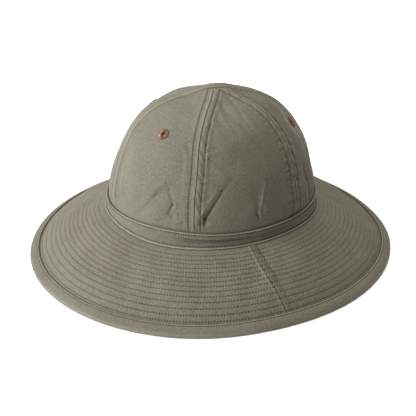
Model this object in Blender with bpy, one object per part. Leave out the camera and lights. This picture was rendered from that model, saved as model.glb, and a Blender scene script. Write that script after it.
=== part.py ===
# A soft deck hat: a crown of six cloth panels, a folded band, a wide brim in two
# halves, a folded binding round its edge and four stitched eyelets.
# Metres, +Z up. The hat's front faces -Y and the wearer's left is +X.
# The hat rests on its brim's edge at z = 0, with the brim's middle over the origin.
# Angles are in degrees round the hat, from the front towards the wearer's left.

import math

import bmesh
import bpy
from mathutils import Vector

# Crown
HEAD_LENGTH = 0.1963       # front to back over the band's top edge
HEAD_WIDTH = 0.1859        # side to side over the band's top edge
CROWN_HEIGHT = 0.0955      # above the band's top edge
CROWN_BACK = 0.0008        # middle of the crown behind the middle of the brim
CROWN_WALL = 0.0012
TIP_RADIUS = 0.0010        # where the panels' points stop
SEAM_STRIP = 0.0052        # seam allowance stitched down on each side of a seam
SEAM_STEP = 0.0012         # where the strip runs out into the panel
SEAM_RAISE = 0.0005        # the strip's double cloth above the panel
FOLD_DEPTH = 0.0030
FOLD_FADE = 0.6            # how much of a fold is lost on the way to its far end
FOLD_START = 6.0           # climb, in degrees, over which folds grow out of the band
BAND_PINCH = 12.0          # climb over which the crown swells out above the band

# Band
BAND_HEIGHT = 0.0129
BAND_WALL = 0.0012
BAND_FLARE = 0.0032        # how much wider the lower edge is than the top edge

# Brim
BRIM_LENGTH = 0.3423       # front to back over the binding, before the reach below
BRIM_WIDTH = 0.3246        # side to side
BRIM_DROP = 0.0392         # from the band's lower edge to the floor
BRIM_WALL = 0.0020
BRIM_ARCH = 0.30           # how much steeper the brim gets on its way out
BRIM_WAVE = 0.0012
BRIM_SEAM_START = 87.9     # angle of the seam between its halves, at the band
BRIM_SEAM_END = 91.2       # and at the edge
BINDING_WIDTH = 0.0079
BINDING_WALL = 0.0010
BINDING_TURNS = (50, 0, -50)   # where the round of the folded edge has its points
REST_LAND = 0.0018         # flat strip under the binding that the hat rests on

# Eyelets
EYELET_RADIUS = 0.0048
EYELET_HOLE = 0.0011
EYELET_THREAD = 0.0008     # thickness of the stitched ring
EYELET_ROUND = 0.0003      # its rounded edges
EYELET_CALM = 2.6          # the cloth lies flat this many eyelet radii out

CLEARANCE = 0.0003         # between pieces that touch

# Mesh fineness
PANEL_COLUMNS = 8          # between the two seam strips of a panel
PANEL_ROWS = 14
BAND_COLUMNS = 72
BRIM_COLUMNS = 32          # round one half of the brim
BRIM_ROWS = 7
EYELET_SIDES = 12
STRIP_LIMIT = 0.22         # largest share of a panel's width that a seam strip takes
STEP_LIMIT = 0.06          # and that the step beside it takes
SMOOTH_BELOW = 40.0        # edges sharper than this, in degrees, are creases

# Profile of the crown: how far the dome stands out from a plain quarter oval at
# each climb, and how far its middle drifts, as shares of the crown's height.
CROWN_PROFILE = [
    {"climb": 0, "fullness": 1.000, "back": 0.000, "side": 0.000},
    {"climb": 15, "fullness": 0.965, "back": 0.004, "side": -0.009},
    {"climb": 30, "fullness": 0.980, "back": 0.021, "side": -0.004},
    {"climb": 45, "fullness": 1.002, "back": 0.024, "side": -0.009},
    {"climb": 60, "fullness": 0.995, "back": 0.039, "side": -0.016},
    {"climb": 75, "fullness": 0.972, "back": 0.050, "side": -0.024},
    {"climb": 90, "fullness": 1.000, "back": 0.057, "side": -0.052},
]

# Seams between the panels: where each starts at the band, how far it turns on its
# way to the top and how far it bows out half way up.
CROWN_SEAMS = [
    {"angle": 4, "turn": -23.6, "bow": 3.0},
    {"angle": 60.2, "turn": -2.5, "bow": 0.5},
    {"angle": 118.7, "turn": 5.6, "bow": -0.8},
    {"angle": 179.7, "turn": -1.6, "bow": -1.0},
    {"angle": 240, "turn": 0, "bow": 0},
    {"angle": 300, "turn": -5, "bow": 0},
]
PANEL_NAMES = ["front_left", "side_left", "back_left", "back_right", "side_right", "front_right"]

# Folds and dents of the crown, from one end to the other. Rises and lengths are
# shares of the crown's height, depths are shares of the fold depth, and a
# negative depth is a ridge.
CROWN_FOLDS = [
    {"angle": 64, "rise": 0.06, "angle_to": 75, "rise_to": 0.38, "width": 0.040, "depth": 0.75},
    {"angle": 96, "rise": 0.00, "angle_to": 93, "rise_to": 0.25, "width": 0.045, "depth": 0.55},
    {"angle": 97, "rise": 0.10, "angle_to": 99, "rise_to": 0.38, "width": 0.050, "depth": -0.35},
    {"angle": 111, "rise": 0.00, "angle_to": 107, "rise_to": 0.14, "width": 0.035, "depth": 0.40},
    {"angle": 48, "rise": 0.12, "angle_to": 46, "rise_to": 0.32, "width": 0.040, "depth": 0.40},
    {"angle": 30, "rise": 0.08, "angle_to": 45, "rise_to": 0.36, "width": 0.055, "depth": 0.50},
    {"angle": 77, "rise": 0.90, "angle_to": 98, "rise_to": 0.54, "width": 0.080, "depth": 0.45},
    {"angle": 134.5, "rise": 0.03, "angle_to": 132.5, "rise_to": 0.38, "width": 0.045, "depth": 0.45},
    {"angle": 147, "rise": 0.86, "angle_to": 145, "rise_to": 0.16, "width": 0.055, "depth": -0.50},
    {"angle": 42, "rise": 0.30, "angle_to": 42, "rise_to": 0.60, "width": 0.450, "depth": 0.40},
    {"angle": 132, "rise": 0.30, "angle_to": 132, "rise_to": 0.60, "width": 0.450, "depth": -0.40},
    {"angle": 208, "rise": 0.05, "angle_to": 216, "rise_to": 0.42, "width": 0.060, "depth": 0.55},
    {"angle": 262, "rise": 0.00, "angle_to": 270, "rise_to": 0.36, "width": 0.060, "depth": 0.60},
    {"angle": 282, "rise": 0.45, "angle_to": 268, "rise_to": 0.80, "width": 0.090, "depth": 0.40},
    {"angle": 322, "rise": 0.04, "angle_to": 315, "rise_to": 0.30, "width": 0.055, "depth": 0.45},
]

# Section of the band: shares of its height, and depths below its outer face as
# shares of its wall. Both edges are folded under and stand proud of the middle.
BAND_SECTION = [
    {"share": 0.00, "depth": 1.00},
    {"share": 0.00, "depth": 0.30},
    {"share": 0.08, "depth": 0.00},
    {"share": 0.50, "depth": 0.15},
    {"share": 0.92, "depth": 0.00},
    {"share": 1.00, "depth": 0.30},
    {"share": 1.00, "depth": 1.00},
]

# The band's two edges rise and sink a little round the hat, in shares of its height.
BAND_LINE = [
    {"angle": 0, "lower": 0.16, "upper": -0.06},
    {"angle": 40, "lower": -0.08, "upper": 0.09},
    {"angle": 75, "lower": 0.00, "upper": -0.05},
    {"angle": 110, "lower": 0.11, "upper": 0.00},
    {"angle": 145, "lower": -0.08, "upper": -0.05},
    {"angle": 200, "lower": 0.04, "upper": 0.03},
    {"angle": 255, "lower": 0.00, "upper": -0.04},
    {"angle": 310, "lower": -0.05, "upper": 0.02},
]

# How far the brim's edge reaches past a plain oval, as shares of its size.
BRIM_REACH = [
    {"angle": 0, "reach": 0.0061},
    {"angle": 30, "reach": 0.0107},
    {"angle": 60, "reach": 0.0130},
    {"angle": 90, "reach": -0.0051},
    {"angle": 120, "reach": 0.0043},
    {"angle": 150, "reach": 0.0088},
    {"angle": 180, "reach": -0.0090},
    {"angle": 210, "reach": -0.0085},
    {"angle": 240, "reach": -0.0011},
    {"angle": 270, "reach": -0.0017},
    {"angle": 300, "reach": -0.0094},
    {"angle": 330, "reach": -0.0048},
]

# Soft waves of the brim, as shares of the wave height, strongest half way out.
BRIM_WAVES = [
    {"angle": 91, "spread": 9, "lift": 1.0},
    {"angle": 128, "spread": 18, "lift": -0.7},
    {"angle": 52, "spread": 20, "lift": 0.5},
    {"angle": 10, "spread": 22, "lift": -0.6},
    {"angle": 205, "spread": 24, "lift": 0.7},
    {"angle": 271, "spread": 12, "lift": 0.9},
    {"angle": 318, "spread": 20, "lift": 0.5},
]

# Eyelets, each placed by its angle and its climb on the crown.
EYELETS = [
    {"name": "front_left", "angle": 29.1, "climb": 47.3},
    {"name": "back_left", "angle": 147.3, "climb": 44.5},
    {"name": "back_right", "angle": 213.7, "climb": 45},
    {"name": "front_right", "angle": 308.0, "climb": 47},
]


# Helpers for curves

def spread_turn(angle, other):
    """Difference of two angles, between -180 and 180 degrees."""
    return (angle - other + 180) % 360 - 180


def ease(share):
    share = min(max(share, 0.0), 1.0)
    return share * share * (3 - 2 * share)


def curve_between(before, start, end, after, share):
    """A smooth curve through start and end, with its neighbours' slopes."""
    return 0.5 * (2 * start + (end - before) * share
                  + (2 * before - 5 * start + 4 * end - after) * share ** 2
                  + (3 * start - before - 3 * end + after) * share ** 3)


def profile_value(column, climb):
    rows = [row[column] for row in CROWN_PROFILE]
    spacing = CROWN_PROFILE[1]["climb"] - CROWN_PROFILE[0]["climb"]
    rows = [2 * rows[0] - rows[1]] + rows + [2 * rows[-1] - rows[-2]]
    place = climb / spacing
    index = min(int(place), len(rows) - 4)
    return curve_between(*rows[index:index + 4], place - index)


def table_value(table, column, angle):
    """Smooth value of one column of a table whose rows go round the hat."""
    count = len(table)
    angle = angle % 360
    index = max(i for i in range(count) if table[i]["angle"] <= angle)
    start = table[index]["angle"]
    width = spread_turn(table[(index + 1) % count]["angle"], start)
    values = [table[(index + step) % count][column] for step in (-1, 0, 1, 2)]
    return curve_between(*values, (angle - start) / width)


def band_lift(column, angle):
    return BAND_HEIGHT * table_value(BAND_LINE, column, angle)


def oval_point(length, width, angle, height):
    turn = math.radians(angle)
    return Vector((width / 2 * math.sin(turn), -length / 2 * math.cos(turn), height))


# Crown surface

def band_bottom(angle):
    return BRIM_DROP + CLEARANCE + band_lift("lower", angle)


def band_top(angle):
    return BRIM_DROP + CLEARANCE + BAND_HEIGHT + band_lift("upper", angle)


def crown_middle(climb):
    return Vector((CROWN_HEIGHT * profile_value("side", climb),
                   CROWN_BACK + CROWN_HEIGHT * profile_value("back", climb), 0))


def crown_base(angle, climb):
    """Outer face of the plain crown above the band, at a climb of 0 to 90 degrees."""
    fullness = profile_value("fullness", climb)
    reach = fullness * math.cos(math.radians(climb))
    rise = fullness * math.sin(math.radians(climb))
    under_band = 2 * (BAND_WALL + CLEARANCE) * (1 - ease(climb / BAND_PINCH))
    level = band_top(angle) * (1 - rise) + (BRIM_DROP + CLEARANCE + BAND_HEIGHT) * rise
    point = oval_point(HEAD_LENGTH * reach - under_band, HEAD_WIDTH * reach - under_band,
                       angle, level + CROWN_HEIGHT * rise)
    return point + crown_middle(climb)


def crown_normal(angle, climb):
    step = 0.5
    low = max(climb - step, 0)
    across = crown_base(angle + step, climb) - crown_base(angle - step, climb)
    up = crown_base(angle, climb + step) - crown_base(angle, low)
    return across.cross(up).normalized()


def ring_radius(climb):
    """Mean radius of the crown at a climb."""
    reach = profile_value("fullness", climb) * math.cos(math.radians(climb))
    return (HEAD_LENGTH + HEAD_WIDTH) / 4 * reach


def seam_angle(index, climb):
    seam = CROWN_SEAMS[index % len(CROWN_SEAMS)]
    return (seam["angle"] + seam["turn"] * math.sin(math.radians(climb))
            + seam["bow"] * math.sin(math.radians(2 * climb)))


def fold_lift(angle, climb):
    """How far folds and dents move the crown's face out."""
    rise = profile_value("fullness", climb) * math.sin(math.radians(climb))
    lift = 0.0
    for fold in CROWN_FOLDS:
        scale = ring_radius(climb) / CROWN_HEIGHT
        start = Vector((math.radians(spread_turn(angle, fold["angle"])) * scale,
                        rise - fold["rise"]))
        along = Vector((math.radians(fold["angle_to"] - fold["angle"]) * scale,
                        fold["rise_to"] - fold["rise"]))
        share = min(max(start.dot(along) / along.length_squared, 0.0), 1.0)
        away = (start - along * share).length / fold["width"]
        strength = fold["depth"] * (1 - FOLD_FADE * share)
        lift -= FOLD_DEPTH * strength * math.exp(-away * away)
    return lift * ease(climb / FOLD_START) * eyelet_calm(angle, climb)


def eyelet_calm(angle, climb):
    """The stitching of an eyelet keeps the cloth round it flat: 0 there, 1 away from it."""
    calm = 1.0
    for eyelet in EYELETS:
        across = math.radians(spread_turn(angle, eyelet["angle"])) * ring_radius(climb)
        up = math.radians(climb - eyelet["climb"]) * CROWN_HEIGHT
        away = math.hypot(across, up) / (EYELET_CALM * EYELET_RADIUS)
        calm *= 1 - math.exp(-away ** 4)
    return calm


def strip_lift(distance, climb):
    """Double cloth beside a seam, at a distance from it."""
    share = 1 - (distance - SEAM_STRIP) / SEAM_STEP
    return SEAM_RAISE * ease(share) * ease(climb / FOLD_START)


def tip_climb():
    """Climb where the panels' points stop short of the very top."""
    climb = 90.0
    while ring_radius(climb) < TIP_RADIUS:
        climb -= 0.05
    return climb


def panel_rows():
    """Climbs of a panel's rows: -1 is the lower edge, under the band."""
    top = tip_climb()
    return [-1.0] + [top * row / PANEL_ROWS for row in range(PANEL_ROWS + 1)]


def panel_columns(index, climb):
    """Angles across a panel, with the distance of each from the nearer seam."""
    start = seam_angle(index, max(climb, 0))
    end = seam_angle(index + 1, max(climb, 0))
    width = spread_turn(end, start)
    radius = ring_radius(max(climb, 0))
    metres = math.radians(width) * radius
    strip = min(SEAM_STRIP, metres * STRIP_LIMIT)
    step = min(SEAM_STEP, metres * STEP_LIMIT)
    near = [CLEARANCE / 2, strip, strip + step]
    middle = metres - 2 * near[-1]
    distances = near[:2] + [near[-1] + middle * column / PANEL_COLUMNS
                            for column in range(PANEL_COLUMNS + 1)]
    distances += [metres - strip, metres - CLEARANCE / 2]
    return [(start + width * distance / metres, min(distance, metres - distance))
            for distance in distances]


def crown_skin(angle, climb, distance, depth):
    """A point of the crown's cloth, at a depth below its outer face."""
    if climb < 0:
        top = crown_base(angle, 0)
        outwards = oval_point(1, 1, angle, 0).normalized()
        point = top + outwards * (BAND_FLARE / 2 - depth)
        point.z = band_bottom(angle)
        return point
    lift = fold_lift(angle, climb) + strip_lift(distance, climb) - depth
    normal = crown_normal(angle, climb)
    if climb == 0:
        normal.z = 0
        normal.normalize()
    return crown_base(angle, climb) + normal * lift


# Band surface

def band_point(angle, share, depth):
    """A point of the band: share 0 is its lower edge and 1 its top edge."""
    outwards = oval_point(1, 1, angle, 0).normalized()
    top = oval_point(HEAD_LENGTH, HEAD_WIDTH, angle, 0) + crown_middle(0)
    point = top + outwards * (BAND_FLARE / 2 * (1 - share) - depth)
    point.z = band_bottom(angle) + share * (band_top(angle) - band_bottom(angle))
    return point


# Brim surface

def brim_thickness():
    """Brim, binding and the gaps between them, at the edge."""
    return BRIM_WALL + BINDING_WALL + CLEARANCE


def brim_edge(angle, inset):
    """The brim's edge over the floor, that far inside the outer face of its binding."""
    reach = 1 + table_value(BRIM_REACH, "reach", angle)
    return oval_point(BRIM_LENGTH * reach - 2 * inset, BRIM_WIDTH * reach - 2 * inset, angle, 0)


def brim_wave(angle, share):
    lift = 0.0
    for wave in BRIM_WAVES:
        turn = spread_turn(angle, wave["angle"]) / wave["spread"]
        lift += BRIM_WAVE * wave["lift"] * math.exp(-turn * turn)
    return lift * math.sin(math.pi * share) ** 2


def brim_slope(share):
    """Height above the brim's edge as a share of the drop, 1 at the band."""
    return 1 - share + BRIM_ARCH * share * (1 - share)


def brim_base(angle, share):
    """Top face of the brim: share 0 is at the band and 1 at its edge."""
    inner = band_point(angle, 0, 0)
    outer = brim_edge(angle, BINDING_WALL + 2 * CLEARANCE)
    point = inner.lerp(outer, share)
    edge = brim_thickness()
    level = edge + (band_bottom(angle) - CLEARANCE - edge) * brim_slope(share)
    point.z = level + brim_wave(angle, share)
    return point


def brim_normal(angle, share):
    step = 0.02
    low = max(share - step, 0)
    high = min(share + step, 1)
    across = brim_base(angle + 1, share) - brim_base(angle - 1, share)
    out = brim_base(angle, high) - brim_base(angle, low)
    return out.cross(across).normalized()


def brim_skin(angle, share, depth):
    """A point of the brim, at a depth below its top face."""
    if share < 0:
        point = band_point(angle, 0, BAND_WALL + CLEARANCE + CROWN_WALL)
        point.z = brim_base(angle, 0).z - depth
        return point
    normal = brim_normal(angle, share)
    if share == 0:
        normal = Vector((0, 0, 1))
    return brim_base(angle, share) - normal * depth


def binding_share(angle):
    """Share of the brim where the binding starts."""
    run = (brim_base(angle, 1) - brim_base(angle, 0)).length
    return 1 - BINDING_WIDTH / run


def half_angles(half, share):
    """Angles round one half of the brim, from seam to seam."""
    seam = BRIM_SEAM_START + (BRIM_SEAM_END - BRIM_SEAM_START) * max(share, 0)
    start, end = (-seam, seam) if half == "front" else (seam, 360 - seam)
    return [start + (end - start) * column / BRIM_COLUMNS for column in range(BRIM_COLUMNS + 1)]


# Solids

def new_object(name, mesh_data, colour, roughness):
    mesh = bpy.data.meshes.new(name)
    bmesh.ops.recalc_face_normals(mesh_data, faces=mesh_data.faces)
    mesh_data.to_mesh(mesh)
    mesh_data.free()
    mesh.shade_smooth()
    mesh.set_sharp_from_angle(angle=math.radians(SMOOTH_BELOW))
    piece = bpy.data.objects.new(name, mesh)
    bpy.context.scene.collection.objects.link(piece)
    material = bpy.data.materials.new(name)
    material.use_nodes = True
    shader = material.node_tree.nodes["Principled BSDF"]
    shader.inputs["Base Color"].default_value = (*colour, 1)
    shader.inputs["Roughness"].default_value = roughness
    shader.inputs["Metallic"].default_value = 0
    mesh.materials.append(material)
    return piece


def sheet_mesh(outer, inner):
    """A closed wall between two grids of points, given as rows from low to high."""
    mesh = bmesh.new()
    skins = [[[mesh.verts.new(point) for point in row] for row in skin] for skin in (outer, inner)]
    rows, columns = len(outer), len(outer[0])
    for row in range(rows - 1):
        for column in range(columns - 1):
            corners = [(row, column), (row, column + 1), (row + 1, column + 1), (row + 1, column)]
            mesh.faces.new([skins[0][r][c] for r, c in corners])
            mesh.faces.new([skins[1][r][c] for r, c in reversed(corners)])
    rim = [(0, column) for column in range(columns)]
    rim += [(row, columns - 1) for row in range(1, rows)]
    rim += [(rows - 1, column) for column in range(columns - 2, -1, -1)]
    rim += [(row, 0) for row in range(rows - 2, 0, -1)]
    for (r, c), (next_r, next_c) in zip(rim, rim[1:] + rim[:1]):
        mesh.faces.new([skins[0][next_r][next_c], skins[0][r][c],
                        skins[1][r][c], skins[1][next_r][next_c]])
    return mesh


def ring_mesh(sections):
    """A closed ring through sections, each a closed loop of points."""
    mesh = bmesh.new()
    loops = [[mesh.verts.new(point) for point in section] for section in sections]
    for here, there in zip(loops, loops[1:] + loops[:1]):
        for side in range(len(here)):
            after = (side + 1) % len(here)
            mesh.faces.new([here[side], there[side], there[after], here[after]])
    return mesh


CLOTH_COLOUR = (0.24, 0.22, 0.16)
THREAD_COLOUR = (0.30, 0.16, 0.10)


def make_panel(index):
    rows = [[(angle, climb, distance) for angle, distance in panel_columns(index, climb)]
            for climb in panel_rows()]
    outer = [[crown_skin(*place, 0) for place in row] for row in rows]
    inner = [[crown_skin(*place, CROWN_WALL) for place in row] for row in rows]
    return new_object("crown_panel_" + PANEL_NAMES[index], sheet_mesh(outer, inner),
                      CLOTH_COLOUR, 0.9)


def make_band():
    angles = [360 * column / BAND_COLUMNS for column in range(BAND_COLUMNS)]
    sections = [[band_point(angle, row["share"], row["depth"] * BAND_WALL) for row in BAND_SECTION]
                for angle in angles]
    return new_object("hat_band", ring_mesh(sections), CLOTH_COLOUR, 0.9)


def make_brim_half(half):
    shares = [-1.0] + [binding_share(0) * row / BRIM_ROWS for row in range(BRIM_ROWS + 1)] + [1.0]
    trim = math.degrees(CLEARANCE / HEAD_WIDTH)
    top, under = [], []
    for share in reversed(shares):
        angles = half_angles(half, share)
        angles = [angles[0] + trim] + angles[1:-1] + [angles[-1] - trim]
        top.append([brim_skin(angle, share, 0) for angle in angles])
        under.append([brim_skin(angle, share, BRIM_WALL) for angle in angles])
    return new_object("brim_" + half, sheet_mesh(top, under), CLOTH_COLOUR, 0.9)


def binding_section(angle):
    """Strip folded round the brim's edge, from its top leg over the edge to its lower leg."""
    start = binding_share(angle)
    skin = CLEARANCE + BINDING_WALL
    lower = BRIM_WALL + CLEARANCE
    outwards = oval_point(1, 1, angle, 0).normalized()
    out = brim_edge(angle, 0)
    downhill = (brim_base(angle, 1) - brim_base(angle, start)).normalized() * CLEARANCE
    edge = brim_skin(angle, 1, -skin)
    fold = []
    for turn in BINDING_TURNS:
        round_in = outwards * BINDING_WALL * (1 - math.cos(math.radians(turn)))
        height = edge.z / 2 * (1 + math.sin(math.radians(turn)))
        fold.append(out - round_in + Vector((0, 0, height)))
    fold += [out - outwards * BINDING_WALL, out - outwards * (BINDING_WALL + REST_LAND)]
    return ([brim_skin(angle, start, -skin), edge] + fold
            + [brim_skin(angle, start, lower + BINDING_WALL), brim_skin(angle, start, lower),
               brim_skin(angle, 1, lower) + downhill,
               brim_skin(angle, 1, -CLEARANCE) + downhill,
               brim_skin(angle, start, -CLEARANCE)])


def make_binding():
    angles = half_angles("front", 1)[:-1] + half_angles("back", 1)[:-1]
    sections = [binding_section(angle) for angle in angles]
    return new_object("edge_binding", ring_mesh(sections), CLOTH_COLOUR, 0.9)


def eyelet_frame(eyelet):
    """Middle, outward normal and two directions along the cloth."""
    normal = crown_normal(eyelet["angle"], eyelet["climb"])
    middle = crown_base(eyelet["angle"], eyelet["climb"])
    across = Vector((0, 0, 1)).cross(normal).normalized()
    return middle, normal, across, normal.cross(across)


def round_point(frame, radius, height, turn):
    middle, normal, across, up = frame
    return (middle + (across * math.cos(turn) + up * math.sin(turn)) * radius + normal * height)


def make_eyelet(eyelet):
    """A ring of thread through the cloth, with a flange on each face."""
    frame = eyelet_frame(eyelet)
    top = CLEARANCE + EYELET_THREAD
    low = -CROWN_WALL - 2 * CLEARANCE
    neck = EYELET_HOLE + EYELET_THREAD
    section = [(EYELET_HOLE, low - EYELET_THREAD), (EYELET_HOLE, top - EYELET_ROUND),
               (EYELET_HOLE + EYELET_ROUND, top), (EYELET_RADIUS - EYELET_ROUND, top - EYELET_ROUND),
               (EYELET_RADIUS, CLEARANCE), (neck, CLEARANCE), (neck, low),
               (EYELET_RADIUS, low), (EYELET_RADIUS - EYELET_ROUND, low - EYELET_THREAD)]
    turns = [2 * math.pi * side / EYELET_SIDES for side in range(EYELET_SIDES)]
    sections = [[round_point(frame, radius, height, turn) for radius, height in section]
                for turn in turns]
    return new_object("eyelet_" + eyelet["name"], ring_mesh(sections), THREAD_COLOUR, 0.8)


def pierce(panel, eyelet):
    """Cut the eyelet's hole through its panel."""
    middle, normal, _, _ = eyelet_frame(eyelet)
    radius = EYELET_HOLE + EYELET_THREAD + CLEARANCE
    bpy.ops.mesh.primitive_cylinder_add(vertices=EYELET_SIDES, radius=radius,
                                        depth=CROWN_WALL * 8, location=middle)
    cutter = bpy.context.object
    cutter.name = "cutter_" + eyelet["name"]
    cutter.rotation_mode = "QUATERNION"
    cutter.rotation_quaternion = normal.to_track_quat("Z", "Y")
    cutter.hide_render = True
    cutter.display_type = "WIRE"
    cut = panel.modifiers.new("eyelet hole", "BOOLEAN")
    cut.operation = "DIFFERENCE"
    cut.solver = "EXACT"
    cut.object = cutter


def make_hat():
    for old in list(bpy.data.objects):
        bpy.data.objects.remove(old)
    panels = {PANEL_NAMES[index]: make_panel(index) for index in range(len(PANEL_NAMES))}
    make_band()
    make_brim_half("front")
    make_brim_half("back")
    make_binding()
    for eyelet in EYELETS:
        make_eyelet(eyelet)
        pierce(panels[eyelet["name"]], eyelet)


make_hat()
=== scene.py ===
# A deck hat in faded olive twill: six crown panels, a folded band, a brim in two
# stitched halves with a bound edge, and four stitched eyelets.
# Metres, +Z up. Angles are in degrees round the hat, from its front (-Y) towards the
# wearer's left (+X). A climb runs from 0 at the band to 90 at the top of the crown.
# Shade is painted shade: how much darker the cloth is painted in its grooves, furrows, creases, holes and
# gaps. Wear is how rubbed and pale it is, partly painted highlight on its ridges and edges. Both run from 0
# to 1.

import functools
import math

import bmesh
import bpy
import numpy as np
from mathutils import Matrix, Vector


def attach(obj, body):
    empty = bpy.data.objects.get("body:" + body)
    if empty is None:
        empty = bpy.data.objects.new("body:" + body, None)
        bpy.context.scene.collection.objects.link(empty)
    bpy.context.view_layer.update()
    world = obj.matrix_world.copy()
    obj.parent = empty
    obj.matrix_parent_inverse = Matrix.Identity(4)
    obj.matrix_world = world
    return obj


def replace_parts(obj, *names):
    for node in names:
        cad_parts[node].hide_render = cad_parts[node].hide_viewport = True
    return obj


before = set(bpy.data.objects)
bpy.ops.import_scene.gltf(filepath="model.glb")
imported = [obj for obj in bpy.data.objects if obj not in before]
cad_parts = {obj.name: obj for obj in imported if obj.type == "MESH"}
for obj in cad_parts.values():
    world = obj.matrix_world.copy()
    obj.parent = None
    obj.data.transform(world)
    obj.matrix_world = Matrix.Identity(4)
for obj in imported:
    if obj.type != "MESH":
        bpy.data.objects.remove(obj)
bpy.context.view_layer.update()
scene = bpy.context.scene


# Camera

view = {
    "azimuth": 68.0,        # round from the front of the hat
    "elevation": 27.5,
    "distance": 0.6971,
    "height": 0.0284,       # of the point it looks at
    "aside": -0.0029,       # of that point, to the camera's right
    "lens": 63.26,
    "sensor": 36.0,
}


def directionAt(turn, tilt):
    # from the hat, at that angle round it and that tilt above the floor
    turn, tilt = math.radians(turn), math.radians(tilt)
    return Vector((math.sin(turn) * math.cos(tilt), -math.cos(turn) * math.cos(tilt), math.sin(tilt)))


def setCamera():
    turn = math.radians(view["azimuth"])
    back = directionAt(view["azimuth"], view["elevation"])
    right = Vector((math.cos(turn), math.sin(turn), 0))
    aim = Vector((0, 0, view["height"])) + right * view["aside"]
    camera = bpy.data.objects.new("camera", bpy.data.cameras.new("camera"))
    camera.data.lens = view["lens"]
    camera.data.sensor_width = view["sensor"]
    placement = Matrix((right, back.cross(right), back)).transposed().to_4x4()
    placement.translation = aim + back * view["distance"]
    camera.matrix_world = placement
    scene.collection.objects.link(camera)
    scene.camera = camera
    print("camera set")


setCamera()


# Curves and waves

def spreadTurn(angle, other):
    return (angle - other + 180) % 360 - 180


def ease(share):
    share = np.clip(share, 0, 1)
    return share * share * (3 - 2 * share)


def between(value, start, rise, end, fall):
    # 1 from start to end, growing over rise after the one and fading over fall before the other
    return ease((value - start) / rise) * ease((end - value) / fall)


def bump(distance, width):
    return np.exp(-(distance / width) ** 2)


def bumpAt(angle, place, spread):
    return bump(spreadTurn(angle, place), spread)


def mark(distance, strength, place, spread):
    # a line along the cloth, such as a furrow or a rubbed edge, at that place
    return strength * bump(distance - place, spread)


def highest(*values):
    return functools.reduce(np.maximum, values)


def pairAt(pair, share):
    return pair[0] + (pair[1] - pair[0]) * share


def curveBetween(before, start, end, after, share):
    # a smooth curve through start and end, with its neighbours' slopes
    return 0.5 * (2 * start + (end - before) * share
                  + (2 * before - 5 * start + 4 * end - after) * share ** 2
                  + (3 * start - before - 3 * end + after) * share ** 3)


def tableRows(columns, rows):
    # each row of a table under its columns' names; the last columns may be left out
    return [dict(zip(columns.split(), row)) for row in rows]


def ripple(place, seed):
    # an uneven wave of about -1 to 1, one wave to each 1 of place
    turn = 2 * math.pi * place
    return (np.sin(turn + 1.7 * seed) + 0.6 * np.sin(1.73 * turn + 2.9 * seed)
            + 0.4 * np.sin(0.57 * turn + 4.1 * seed)) / 1.6


def cloud(points, length, seed):
    # soft lumps of about that length all through space
    rng = np.random.default_rng(seed)
    total = 0
    for wave in range(9):
        direction = rng.normal(size=3)
        direction *= 2 * math.pi / length * rng.uniform(0.6, 1.7) / np.linalg.norm(direction)
        total = total + np.sin(points @ direction + rng.uniform(0, 2 * math.pi))
    return total / 2.1


def normalized(vectors):
    return vectors / np.linalg.norm(vectors, axis=-1, keepdims=True)


def ovalPoints(length, width, angle, height):
    turn = np.radians(angle)
    return np.stack(np.broadcast_arrays(width / 2 * np.sin(turn), -length / 2 * np.cos(turn),
                                        height), axis=-1)


def outwards(angle):
    return ovalPoints(2, 2, angle, 0.0)


# Meshes from grids of points

def gridQuads(index):
    return np.stack([index[:-1, :-1], index[:-1, 1:], index[1:, 1:], index[1:, :-1]],
                    axis=-1).reshape(-1, 4)


def nodeName(name):
    # the solid that a piece stands for: hatBand stands for hat_band
    return "".join("_" + letter.lower() if letter.isupper() else letter for letter in name)


def writeMarks(mesh, corners, marks):
    # each face corner's place on the flat cloth, and the values kept at points
    mesh.uv_layers.new(name="cloth").uv.foreach_set("vector", corners.astype(np.float32).ravel())
    for label, values in marks.items():
        layer = mesh.attributes.new(label, "FLOAT", "POINT")
        layer.data.foreach_set("value", values.astype(np.float32).ravel())


def addObject(name, mesh, material):
    mesh.shade_smooth()
    mesh.materials.append(material)
    piece = bpy.data.objects.new(name, mesh)
    scene.collection.objects.link(piece)
    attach(piece, "root")
    return piece


def addPiece(name, points, faces, corners, marks, material):
    mesh = bpy.data.meshes.new(name)
    mesh.from_pydata(points.reshape(-1, 3).tolist(), [], faces.tolist())
    writeMarks(mesh, corners, marks)
    soft = bmesh.new()
    soft.from_mesh(mesh)
    bmesh.ops.recalc_face_normals(soft, faces=soft.faces)
    soft.to_mesh(mesh)
    soft.free()
    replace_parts(addObject(name, mesh, material), nodeName(name))


def addWall(name, outer, inner, layout, marks, material):
    # a closed wall between two grids of points
    rows, columns = outer.shape[:2]
    index = np.arange(rows * columns).reshape(rows, columns)
    rim = np.concatenate([index[0], index[1:, -1], index[-1, -2::-1], index[-2:0:-1, 0]])
    after = np.roll(rim, -1)
    faces = np.concatenate([gridQuads(index), gridQuads(index + index.size)[:, ::-1],
                            np.stack([after, rim, rim + index.size, after + index.size], axis=-1)])
    points = np.concatenate([outer.reshape(-1, 3), inner.reshape(-1, 3)])
    corners = layout.reshape(-1, 2)[faces % index.size]
    marks = {label: np.tile(values.ravel(), 2) for label, values in marks.items()}
    addPiece(name, points, faces, corners, marks, material)


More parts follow.
